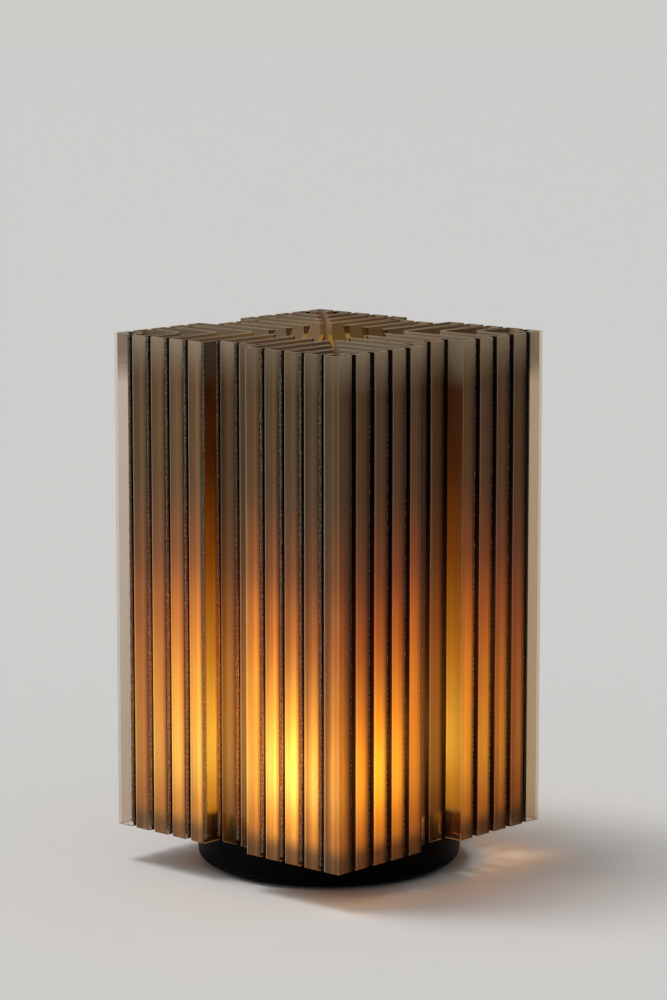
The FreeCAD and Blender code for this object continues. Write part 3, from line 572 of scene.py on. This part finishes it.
# Painted glow: the shade's translucent colour by height, dark at the foot where the base shades it, bright
# yellow low down and fading to dark brown near the top, stands in for how the lamp's light falls up the
# shade.
painted_glow_steps = (
    (0.000, (0.10, 0.065, 0.04)),
    (0.020, (0.16, 0.10, 0.05)),
    (0.060, (0.80, 0.60, 0.24)),
    (0.150, (0.92, 0.86, 0.50)),
    (0.330, (0.90, 0.72, 0.26)),
    (0.470, (0.83, 0.50, 0.125)),
    (0.600, (0.46, 0.20, 0.048)),
    (0.750, (0.11, 0.035, 0.012)),
    (1.000, (0.06, 0.03, 0.02)),
)
# Painted light and shade across each panel, in skin and glow: a lighter band and darker lines towards the
# panel's right-hand end, standing in for how light falls on and through the folded wall.
left_panel_painted_shading = ((0.15, 1.00), (0.22, 0.86), (0.42, 0.92), (0.58, 1.18), (0.68, 1.08), (0.75, 0.75),
                (0.84, 0.50))
right_panel_painted_shading = ((0.15, 1.10), (0.30, 1.05), (0.52, 0.95), (0.66, 0.75), (0.74, 0.42), (0.84, 0.20))


def calculator(tree):
    """A function that adds math nodes to one finish; plain numbers are set, the rest are linked."""
    def add(operation, *values, clamp=False):
        node = tree.nodes.new("ShaderNodeMath")
        node.operation = operation
        node.use_clamp = clamp
        for socket, value in zip(node.inputs, values):
            if isinstance(value, (int, float)):
                socket.default_value = value
            else:
                tree.links.new(value, socket)
        return node.outputs[0]
    return add


def colour_steps(tree, value, steps):
    """A ramp of colours, or of greys where a step is a plain number, over one value."""
    node = tree.nodes.new("ShaderNodeValToRGB")
    node.color_ramp.interpolation = "EASE"
    for step in steps[2:]:
        node.color_ramp.elements.new(step[0])
    for element, (place, colour) in zip(node.color_ramp.elements, steps):
        element.position = place
        element.color = (*colour, 1.0) if isinstance(colour, tuple) else (colour, colour, colour, 1.0)
    tree.links.new(value, node.inputs["Fac"])
    return node.outputs["Color"]


def colour_mix(tree, first, second, share, blend="MIX"):
    """One colour laid over another by a share; a plain tuple is set, the rest are linked."""
    node = tree.nodes.new("ShaderNodeMix")
    node.data_type = "RGBA"
    node.blend_type = blend
    for socket, value in ((node.inputs["A"], first), (node.inputs["B"], second)):
        if isinstance(value, tuple):
            socket.default_value = (*value, 1.0)
        else:
            tree.links.new(value, socket)
    if isinstance(share, float):
        node.inputs["Factor"].default_value = share
    else:
        tree.links.new(share, node.inputs["Factor"])
    return node.outputs["Result"]


smoky_print = bpy.data.materials.new("smoky_print")
smoky_print.use_nodes = True
print_tree = smoky_print.node_tree
print_shader = print_tree.nodes["Principled BSDF"]
calc = calculator(print_tree)


def both(first, *more):
    """Where all of several masks hold."""
    for mask in more:
        first = calc("MULTIPLY", first, mask)
    return first


def between(value, low, high, soft):
    """1 from low to high, fading to 0 over soft beyond each end."""
    rise = calc("DIVIDE", calc("SUBTRACT", value, low - soft), soft, clamp=True)
    fall = calc("DIVIDE", calc("SUBTRACT", high + soft, value), soft, clamp=True)
    return both(rise, fall)


def without(mask):
    """Where a mask doesn't hold."""
    return calc("SUBTRACT", 1.0, mask)


print_coords = print_tree.nodes.new("ShaderNodeTexCoord")
print_place = print_tree.nodes.new("ShaderNodeSeparateXYZ")
print_facing = print_tree.nodes.new("ShaderNodeSeparateXYZ")
print_tree.links.new(print_coords.outputs["Object"], print_place.inputs[0])
print_tree.links.new(print_coords.outputs["Normal"], print_facing.inputs[0])
place_x, place_y = [calc("ABSOLUTE", print_place.outputs[axis]) for axis in ("X", "Y")]
facing_x, facing_y, facing_z = [
    calc("GREATER_THAN", calc("ABSOLUTE", print_facing.outputs[axis]), square_on) for axis in ("X", "Y", "Z")]
print_sides = print_tree.nodes.new("ShaderNodeNewGeometry")
outside = without(print_sides.outputs["Backfacing"])
flip_y = calc("MULTIPLY", calc("SIGN", print_place.outputs["Y"]), -1.0)
flip_x = calc("SIGN", print_place.outputs["X"])


def panels_of(facing, far, across):
    """Outer skins of the panels of two opposite sides, set back in the notch."""
    set_back = calc("MULTIPLY", calc("LESS_THAN", across, notch_half), half_side - notch_face)
    plane = calc("SUBTRACT", half_side - skin_depth, set_back)
    return both(facing, calc("GREATER_THAN", far, plane))


def notch_walls_of(facing, far, across):
    """The outer skins of the notch's own two walls, from the side's face back to the notch's floor."""
    skin = both(calc("GREATER_THAN", across, fold_pitch), calc("LESS_THAN", across, notch_half + skin_depth))
    return both(facing, skin, calc("GREATER_THAN", far, notch_face - wall_margin))


def shaded_slot_walls_of(facing, far, across, sideways):
    """Where the slots' walls are painted near black as shade: behind their mouths, on a slot's left, behind
    the seam, and on its right.
    """
    turn = calc("FRACT", calc("ADD", calc("DIVIDE", across, fold_pitch), 0.5))
    offset = calc("MULTIPLY", calc("ABSOLUTE", calc("SUBTRACT", turn, 0.5)), fold_pitch)
    in_notch = calc("LESS_THAN", across, notch_half + wall_margin)
    set_back = calc("MULTIPLY", in_notch, half_side - notch_face)
    depth = calc("SUBTRACT", calc("SUBTRACT", half_side, set_back), far)
    on_left = calc("GREATER_THAN", sideways, 0.0)
    seen_left = both(on_left, outside, between(depth, *left_shade_depths))
    seen_right = both(without(on_left), outside, between(depth, *right_shade_depths))
    through = both(without(outside), between(depth, *inner_shade_depths),
                   calc("MULTIPLY_ADD", on_left, inner_shade_left - inner_shade_right, inner_shade_right))
    wall = both(facing, calc("LESS_THAN", offset, slot_half), calc("LESS_THAN", across, half_side - slot_end))
    return both(wall, calc("MAXIMUM", through, calc("MAXIMUM", seen_left, seen_right)))


y_panels = panels_of(facing_y, place_y, place_x)
x_panels = panels_of(facing_x, place_x, place_y)
panels = calc("MAXIMUM", y_panels, x_panels)
across_middle = calc("ADD", both(y_panels, place_x), both(x_panels, place_y))
notch_floor = both(panels, calc("LESS_THAN", across_middle, notch_half))
notch_walls = calc("MAXIMUM",
                   notch_walls_of(facing_x, place_y, place_x),
                   notch_walls_of(facing_y, place_x, place_y))
# Painted shade: the slots' walls just behind their mouths turn near black and nearly opaque, with no glow.
painted_slot_shade = calc("MAXIMUM",
                  shaded_slot_walls_of(facing_x, place_y, place_x,
                                calc("MULTIPLY", print_facing.outputs["X"], flip_y)),
                  shaded_slot_walls_of(facing_y, place_x, place_y,
                                calc("MULTIPLY", print_facing.outputs["Y"], flip_x)))
in_corner = calc("GREATER_THAN", calc("MINIMUM", place_x, place_y), half_side - corner_width)
clear_corners = both(in_corner, calc("LESS_THAN", calc("MULTIPLY", flip_x, flip_y), 0.0))
flat_panels = both(panels, without(clear_corners))
across_side = calc("ADD",
                   both(y_panels, print_place.outputs["X"], flip_y),
                   both(x_panels, print_place.outputs["Y"], flip_x))
across_panel = calc("FRACT", calc("DIVIDE", across_side, fold_pitch))
# Painted highlight: a thin pale line at each panel's left edge, where the rounded fold catches the window
# light.
painted_edge_highlight = both(flat_panels, between(across_panel, *edge_highlight_span))
shade_rise = calc("DIVIDE", calc("SUBTRACT", print_place.outputs["Z"], shade_low[2]), shade_height)
# Painted light: towards the top the panels turn beige in skin and glow, standing in for light from above and
# behind coming in over the rim.
painted_top_light = calc("DIVIDE", calc("SUBTRACT", shade_rise, top_light_start), 1.0 - top_light_start, clamp=True)
painted_top_light = calc("POWER", painted_top_light, top_light_curve)
# The painted top light is weaker on the right-hand half, seen from outside, of each Y-facing side.
front_block_panels = both(y_panels, calc("GREATER_THAN", across_side, 0.0))
painted_top_light = calc("MULTIPLY", painted_top_light, calc("MULTIPLY_ADD", front_block_panels, -front_block_top_light_loss, 1.0))
# Painted light: the deep fold walls near the top are hazier, with a beige skin and a faint beige glow, where
# light from above falls in.
painted_inner_top_light = calc("DIVIDE", calc("SUBTRACT", shade_rise, inner_top_light_start), inner_top_light_span, clamp=True)
painted_inner_top_light = both(painted_inner_top_light, without(panels), without(painted_slot_shade))
notches = calc("MAXIMUM", notch_floor, notch_walls)
below_boss = calc("SUBTRACT", boss_top + boss_softness, print_place.outputs["Z"])
boss_shadow = both(notches, calc("DIVIDE", below_boss, boss_softness, clamp=True))

streak_map = print_tree.nodes.new("ShaderNodeMapping")
streak_map.inputs["Scale"].default_value = streak_stretch
streaks = print_tree.nodes.new("ShaderNodeTexNoise")
streaks.inputs["Scale"].default_value = 1.0
streaks.inputs["Detail"].default_value = 2.0
print_tree.links.new(print_coords.outputs["Object"], streak_map.inputs["Vector"])
print_tree.links.new(streak_map.outputs["Vector"], streaks.inputs["Vector"])
streak = calc("MULTIPLY_ADD", streaks.outputs["Fac"], streak_strength, streak_floor)

haze = calc("MULTIPLY_ADD", flat_panels, panel_haze, deep_haze)
haze = calc("MAXIMUM", haze, calc("MULTIPLY", notch_walls, notch_haze))
haze = calc("MULTIPLY_ADD", clear_corners, corner_haze - deep_haze, haze)
print_ray = print_tree.nodes.new("ShaderNodeLightPath")
shadow_corners = both(clear_corners, print_ray.outputs["Is Shadow Ray"])
haze = calc("MULTIPLY_ADD", shadow_corners, corner_shadow - corner_haze, haze)
haze = calc("MULTIPLY_ADD", painted_inner_top_light, inner_top_light_haze, haze)
haze = calc("MULTIPLY", haze, calc("MULTIPLY_ADD", boss_shadow, -boss_clearing, 1.0))
for mask, share in ((facing_z, top_haze), (painted_slot_shade, slot_shade_haze), (painted_edge_highlight, edge_highlight_haze)):
    haze = calc("MAXIMUM", haze, calc("MULTIPLY", mask, share))
gloss = print_tree.nodes.new("ShaderNodeFresnel")
gloss.inputs["IOR"].default_value = 1.45
haze = calc("MULTIPLY_ADD", both(gloss.outputs["Fac"], outside), gloss_haze, haze, clamp=True)

plain_end = calc("GREATER_THAN", across_side, half_side - end_panel)
y_across = calc("MINIMUM", across_panel, calc("MULTIPLY_ADD", plain_end, -end_panel_stop, 1.0))
y_painted_shading = colour_steps(print_tree, y_across, left_panel_painted_shading)
x_painted_shading = colour_steps(print_tree, across_panel, right_panel_painted_shading)
skin_colour = colour_mix(print_tree, skin_brown, y_painted_shading, both(y_panels, flat_panels), "MULTIPLY")
skin_colour = colour_mix(print_tree, skin_colour, x_painted_shading, both(x_panels, flat_panels), "MULTIPLY")
# Painted shade: the right-hand sides' skin is darker, as the side turned away from the window light.
skin_colour = colour_mix(print_tree, skin_colour, right_side_painted_shade, both(x_panels, flat_panels), "MULTIPLY")
# Painted shade: on the Y-facing sides, the panels in the right-hand half, seen from outside, are darker.
skin_colour = colour_mix(print_tree, skin_colour, front_block_painted_shade,
                         both(y_panels, calc("GREATER_THAN", across_side, 0.0)), "MULTIPLY")
skin_colour = colour_mix(print_tree, skin_colour, streak, 1.0, "MULTIPLY")
# Painted light and shade on the notch walls: those facing along X get a dark skin, those facing along Y,
# towards the window, a lighter one.
skin_colour = colour_mix(print_tree, skin_colour, notch_skin_painted_shade, notch_walls)
skin_colour = colour_mix(print_tree, skin_colour, notch_skin_painted_window_light, both(notch_walls, facing_y))
skin_colour = colour_mix(print_tree, skin_colour, top_light_beige, calc("MULTIPLY", painted_top_light, top_light_share))
skin_colour = colour_mix(print_tree, skin_colour, top_light_beige, painted_inner_top_light)
# Painted shade: the walls nearest the axis at the top opening stay dark brown.
inner_end_painted_shade = both(painted_inner_top_light, calc("LESS_THAN", calc("MAXIMUM", place_x, place_y), inner_end_reach))
skin_colour = colour_mix(print_tree, skin_colour, inner_end_shade_brown, inner_end_painted_shade)
skin_colour = colour_mix(print_tree, skin_colour, edge_highlight_colour, painted_edge_highlight)
# The wall's up-facing top edges are beige: partly the print's frosted top, partly a painted highlight of the
# light from above.
skin_colour = colour_mix(print_tree, skin_colour, top_face_frost_and_highlight, facing_z)
skin_colour = colour_mix(print_tree, skin_colour, painted_slot_black, painted_slot_shade)
# On the notch walls the painted glow reaches higher up.
painted_glow_rise = calc("MULTIPLY", shade_rise, calc("MULTIPLY_ADD", notch_walls, -notch_painted_glow_lift, 1.0))
# The painted glow by height, then painted light and shade by place, make the translucent colour.
painted_glow_colour = colour_steps(print_tree, painted_glow_rise, painted_glow_steps)
painted_glow_colour = colour_mix(print_tree, painted_glow_colour, y_painted_shading, both(y_panels, flat_panels), "MULTIPLY")
painted_glow_colour = colour_mix(print_tree, painted_glow_colour, x_painted_shading, both(x_panels, flat_panels), "MULTIPLY")
# Painted shade: the right-hand sides' glow is darker and more orange.
painted_glow_colour = colour_mix(print_tree, painted_glow_colour, right_side_painted_glow_shade, x_panels, "MULTIPLY")
painted_glow_colour = colour_mix(print_tree, painted_glow_colour, streak, 1.0, "MULTIPLY")
# Painted shade: the notch floors' glow is dimmed.
painted_glow_colour = colour_mix(print_tree, painted_glow_colour, notch_floor_painted_shade, notch_floor, "MULTIPLY")
# Painted light: the notch walls' glow is boosted past the plain plastic's.
painted_glow_colour = colour_mix(print_tree, painted_glow_colour, notch_wall_glow_boost, notch_walls, "MULTIPLY")
painted_glow_colour = colour_mix(print_tree, painted_glow_colour, glow_corner, clear_corners)
painted_glow_colour = colour_mix(print_tree, painted_glow_colour, top_light_glow, calc("MULTIPLY", painted_top_light, top_light_share))
painted_glow_colour = colour_mix(print_tree, painted_glow_colour, inner_top_light_glow, painted_inner_top_light)
# Painted shade in the slots and painted shadow below the boss top: the glow goes black there.
painted_glow_colour = colour_mix(print_tree, painted_glow_colour, painted_slot_black, calc("MAXIMUM", painted_slot_shade, boss_shadow))
print_tree.links.new(skin_colour, print_shader.inputs["Base Color"])
print_shader.inputs["Roughness"].default_value = 0.38
print_shader.inputs["Specular IOR Level"].default_value = 0.2
clear_plastic = print_tree.nodes.new("ShaderNodeBsdfTransparent")
clear_colour = colour_mix(print_tree, fold_tint, panel_tint, calc("MAXIMUM", panels, notch_walls))
# The clear side corners' tint: the left one, on the window side, is lighter than the right one, which holds
# painted shade; both are lighter towards the top.
for corner, side in ((lit_left_corner_tint, "LESS_THAN"), (shaded_right_corner_tint, "GREATER_THAN")):
    this_corner = both(clear_corners, calc(side, print_place.outputs["X"], 0.0))
    corner_tint = colour_steps(print_tree, shade_rise, corner)
    clear_colour = colour_mix(print_tree, clear_colour, corner_tint, this_corner)
print_tree.links.new(clear_colour, clear_plastic.inputs["Color"])
glowing_plastic = print_tree.nodes.new("ShaderNodeBsdfTranslucent")
print_tree.links.new(painted_glow_colour, glowing_plastic.inputs["Color"])
hazy_plastic = print_tree.nodes.new("ShaderNodeMixShader")
# The notch walls take more of their colour from the painted glow, those facing along X most.
glow_share = calc("MULTIPLY_ADD", both(notch_walls, facing_x), notch_x_wall_glow_share, glow_half)
glow_share = calc("MULTIPLY_ADD", both(notch_walls, facing_y), notch_y_wall_glow_share, glow_share)
print_tree.links.new(glow_share, hazy_plastic.inputs["Fac"])
print_tree.links.new(print_shader.outputs["BSDF"], hazy_plastic.inputs[1])
print_tree.links.new(glowing_plastic.outputs["BSDF"], hazy_plastic.inputs[2])
print_mix = print_tree.nodes.new("ShaderNodeMixShader")
print_tree.links.new(haze, print_mix.inputs["Fac"])
print_tree.links.new(clear_plastic.outputs["BSDF"], print_mix.inputs[1])
print_tree.links.new(hazy_plastic.outputs["Shader"], print_mix.inputs[2])
print_tree.links.new(print_mix.outputs["Shader"], print_tree.nodes["Material Output"].inputs["Surface"])
dress("shade", smoky_print)

# Fold seams
# Where the print turns back on itself at each fold's right-hand edge, the line of plastic leaves an uneven
# bead up the whole height. Its small bright specks are painted glints, which also glow brighter. It is the
# shade's own plastic and part of it.
seam_radius = 0.00065
bead_pitch = 0.0020
seam_end = 0.0004
seam_sink = 0.00018
seam_shift = 0.00125
slots_each_way = 5
crumple_size = 0.0016
crumple_depth = 0.00030
glint_scale = 2000.0
glint_start = 0.53
glint_edge = 0.05
bead_brown = (0.38, 0.26, 0.15)
painted_glint_cream = (1.0, 0.90, 0.70)
bead_glow_tint = (0.75, 0.56, 0.34)
bead_glow_share = 0.6
seam_turns = int((shade_height - 2 * seam_end) / bead_pitch)
seam = screw_thread(seam_radius, bead_pitch, seam_turns, shade_high[2] - seam_end, sides=6)
crumple = bpy.data.textures.new("seam_crumple", "CLOUDS")
crumple.noise_scale = crumple_size
uneven = seam.modifiers.new("uneven", "DISPLACE")
uneven.texture = crumple
uneven.strength = crumple_depth
only_select(seam)
bpy.ops.object.modifier_apply(modifier="uneven")
seam_spots = [(-notch_half, seam_radius + seam_sink - half_side)]
for slot in range(-slots_each_way, slots_each_way + 1):
    across = slot * fold_pitch - seam_shift
    inset = notch_face if abs(across) < notch_half else half_side
    seam_spots.append((across, seam_radius + seam_sink - inset))
seams = []
for quarter in range(4):
    turn = mathutils.Matrix.Rotation(quarter * math.pi / 2, 4, "Z")
    for across, depth in seam_spots:
        only_select(seam)
        bpy.ops.object.duplicate()
        bpy.ops.transform.translate(value=turn @ mathutils.Vector((across, depth, 0)))
        bpy.ops.object.transform_apply(location=True, rotation=True, scale=True)
        seams.append(bpy.context.object)
only_select(seam)
bpy.ops.object.delete()
bpy.ops.object.select_all(action="DESELECT")
for copy in seams:
    copy.select_set(True)
bpy.context.view_layer.objects.active = seams[0]
bpy.ops.object.join()
fold_seams = bpy.context.object
fold_seams.name = "shade_fold_seams"
bpy.ops.object.shade_smooth()

bead_plastic = bpy.data.materials.new("bead_plastic")
bead_plastic.use_nodes = True
bead_tree = bead_plastic.node_tree
bead_shader = bead_tree.nodes["Principled BSDF"]
bead_calc = calculator(bead_tree)
bead_coords = bead_tree.nodes.new("ShaderNodeTexCoord")
bead_place = bead_tree.nodes.new("ShaderNodeSeparateXYZ")
glint_noise = bead_tree.nodes.new("ShaderNodeTexNoise")
glint_noise.inputs["Scale"].default_value = glint_scale
glint_noise.inputs["Detail"].default_value = 1.0
bead_tree.links.new(bead_coords.outputs["Object"], bead_place.inputs[0])
bead_tree.links.new(bead_coords.outputs["Object"], glint_noise.inputs["Vector"])
# Painted glints: sparse cream specks on the bead, which take the full painted glow in place of the dull one.
painted_glint = bead_calc("DIVIDE", bead_calc("SUBTRACT", glint_noise.outputs["Fac"], glint_start), glint_edge, clamp=True)
bead_rise = bead_calc("DIVIDE", bead_calc("SUBTRACT", bead_place.outputs["Z"], shade_low[2]), shade_height)
bead_skin = colour_mix(bead_tree, bead_brown, painted_glint_cream, painted_glint)
# The bead's translucent colour takes the same painted glow by height.
bead_painted_glow = colour_steps(bead_tree, bead_rise, painted_glow_steps)
bead_dull = colour_mix(bead_tree, bead_painted_glow, bead_glow_tint, 1.0, "MULTIPLY")
bead_tree.links.new(bead_skin, bead_shader.inputs["Base Color"])
bead_shader.inputs["Roughness"].default_value = 0.25
bead_through = bead_tree.nodes.new("ShaderNodeBsdfTranslucent")
bead_tree.links.new(colour_mix(bead_tree, bead_dull, bead_painted_glow, painted_glint), bead_through.inputs["Color"])
bead_mix = bead_tree.nodes.new("ShaderNodeMixShader")
bead_mix.inputs["Fac"].default_value = bead_glow_share
bead_tree.links.new(bead_shader.outputs["BSDF"], bead_mix.inputs[1])
bead_tree.links.new(bead_through.outputs["BSDF"], bead_mix.inputs[2])
bead_tree.links.new(bead_mix.outputs["Shader"], bead_tree.nodes["Material Output"].inputs["Surface"])
fold_seams.data.materials.append(bead_plastic)
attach(fold_seams, "lifted_shade")

# Floor
# A wide, plain pale bench top.
bench_radius = 40.0
bpy.ops.object.select_all(action="DESELECT")
bpy.ops.mesh.primitive_circle_add(vertices=96, radius=bench_radius, fill_type="NGON", location=(0, 0, 0))
floor = bpy.context.object
floor.name = "bench"
bench_paint = grained_finish("bench_paint", 300.0, (0.466, 0.466, 0.463), (0.476, 0.476, 0.473),
                             (0.85, 0.95), 0.0)
bench_paint.node_tree.nodes["Principled BSDF"].inputs["Specular IOR Level"].default_value = 0.1
floor.data.materials.append(bench_paint)

# Backdrop
# A pale wall far behind the bench on every side, as bright as the bench, so that a low view has no dark edge.
# Only the camera sees it: it gives no light and throws no shadow.
wall_distance = 9.0
wall_tone = (0.610, 0.609, 0.594, 1.0)
bpy.ops.mesh.primitive_uv_sphere_add(segments=48, ring_count=24, radius=wall_distance, location=(0, 0, 0))
backdrop = bpy.context.object
backdrop.name = "backdrop"
wall_paint = bpy.data.materials.new("wall_paint")
wall_paint.use_nodes = True
wall_shader = wall_paint.node_tree.nodes["Principled BSDF"]
wall_shader.inputs["Base Color"].default_value = (0.0, 0.0, 0.0, 1.0)
wall_shader.inputs["Specular IOR Level"].default_value = 0.0
wall_shader.inputs["Emission Color"].default_value = wall_tone
wall_shader.inputs["Emission Strength"].default_value = 1.0
wall_paint.cycles.emission_sampling = "NONE"
backdrop.data.materials.append(wall_paint)
backdrop.visible_diffuse = False
backdrop.visible_glossy = False
backdrop.visible_transmission = False
backdrop.visible_volume_scatter = False
backdrop.visible_shadow = False

# Studio light
# Three soft window lights on the left, one above the other, a weak panel overhead and a dim surround. The
# bench alone gets the room's bounce. Warm lights inside the shade make the lamp's glow and its spill.
window_lean = 0.12
window_spread = 24
windows = (("window_low", 0.42, 30), ("window_middle", 0.40, 50), ("window_high", 1.95, 72))
panel_strength = 0.20
panel_spread = 45
bounce_strength = 1.45
bounce_spread = 150
bounce_colour = (1.0, 0.99, 0.95)
glow_height = 0.052
glow_radius = 0.016
glow_amber = (1.0, 0.74, 0.25)
glow_places = (("front", 0.034, -0.034, 0.27), ("left", -0.022, -0.022, 0.12),
               ("right", 0.022, 0.022, 0.11), ("back", -0.022, 0.022, 0.14))
high_glow_orange = (1.0, 0.60, 0.10)
spill_orange = (1.0, 0.44, 0.09)
spot_orange = (1.0, 0.50, 0.14)
spot_spread = 165
surround = bpy.data.worlds.new("surround")
surround.use_nodes = True
surround.node_tree.nodes["Background"].inputs["Color"].default_value = (1.0, 0.995, 0.985, 1.0)
surround.node_tree.nodes["Background"].inputs["Strength"].default_value = 0.03
bpy.context.scene.world = surround


def soft_sun(name, strength, spread, towards):
    """A broad, even light from one side."""
    data = bpy.data.lights.new(name, "SUN")
    data.energy = strength
    data.angle = math.radians(spread)
    light = bpy.data.objects.new(name, data)
    light.rotation_euler = (-towards).to_track_quat("-Z", "Y").to_euler()
    bpy.context.scene.collection.objects.link(light)
    return light


image_left = mathutils.Vector((-0.736, -0.677, 0.0))
to_camera = mathutils.Vector((0.677, -0.736, 0.0))
overhead = mathutils.Vector((0.0, 0.0, 1.0))
window_side = image_left - to_camera * window_lean
for name, strength, tilt in windows:
    level = math.radians(tilt)
    soft_sun(name, strength, window_spread, window_side * math.cos(level) + overhead * math.sin(level))
soft_sun("overhead_panel", panel_strength, panel_spread, overhead)

lit_by_lamp = bpy.data.collections.new("lit_by_lamp")
lit_by_lamp.objects.link(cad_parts["shade"])
lit_by_lamp.objects.link(fold_seams)
lit_bench = bpy.data.collections.new("lit_bench")
lit_bench.objects.link(floor)
room_bounce = soft_sun("room_bounce", bounce_strength, bounce_spread, overhead)
room_bounce.data.color = bounce_colour
room_bounce.light_linking.receiver_collection = lit_bench


def lamp_glow(name, place, power, radius, colour, receivers, kind="POINT"):
    """Warm light inside the shade, unseen itself, that lights only the given pieces."""
    data = bpy.data.lights.new(name, kind)
    data.energy = power
    data.color = colour
    data.shadow_soft_size = radius
    glow = bpy.data.objects.new(name, data)
    glow.location = place
    glow.visible_camera = False
    glow.light_linking.receiver_collection = receivers
    bpy.context.scene.collection.objects.link(glow)
    return glow


for name, x, y, power in glow_places:
    lamp_glow("glow_" + name, (x, y, glow_height), power, glow_radius, glow_amber, lit_by_lamp)
lamp_glow("glow_high", (0, 0, 0.080), 0.36, 0.020, high_glow_orange, lit_by_lamp)
lamp_glow("glow_spill", (0, 0, 0.050), 0.05, 0.020, spill_orange, lit_bench)
spill = lamp_glow("glow_shadow_side", (0, 0, 0.045), 1.00, 0.040, spot_orange, lit_bench, kind="SPOT")
spill.data.spot_size = math.radians(spot_spread)
spill.data.spot_blend = 1.0
spill_side = -image_left + to_camera * 0.45 - overhead * 0.3
spill.rotation_euler = spill_side.to_track_quat("-Z", "Y").to_euler()

scene = bpy.context.scene
scene.view_settings.view_transform = "Standard"
scene.cycles.transparent_max_bounces = 80
scene.cycles.max_bounces = 5
scene.cycles.diffuse_bounces = 2
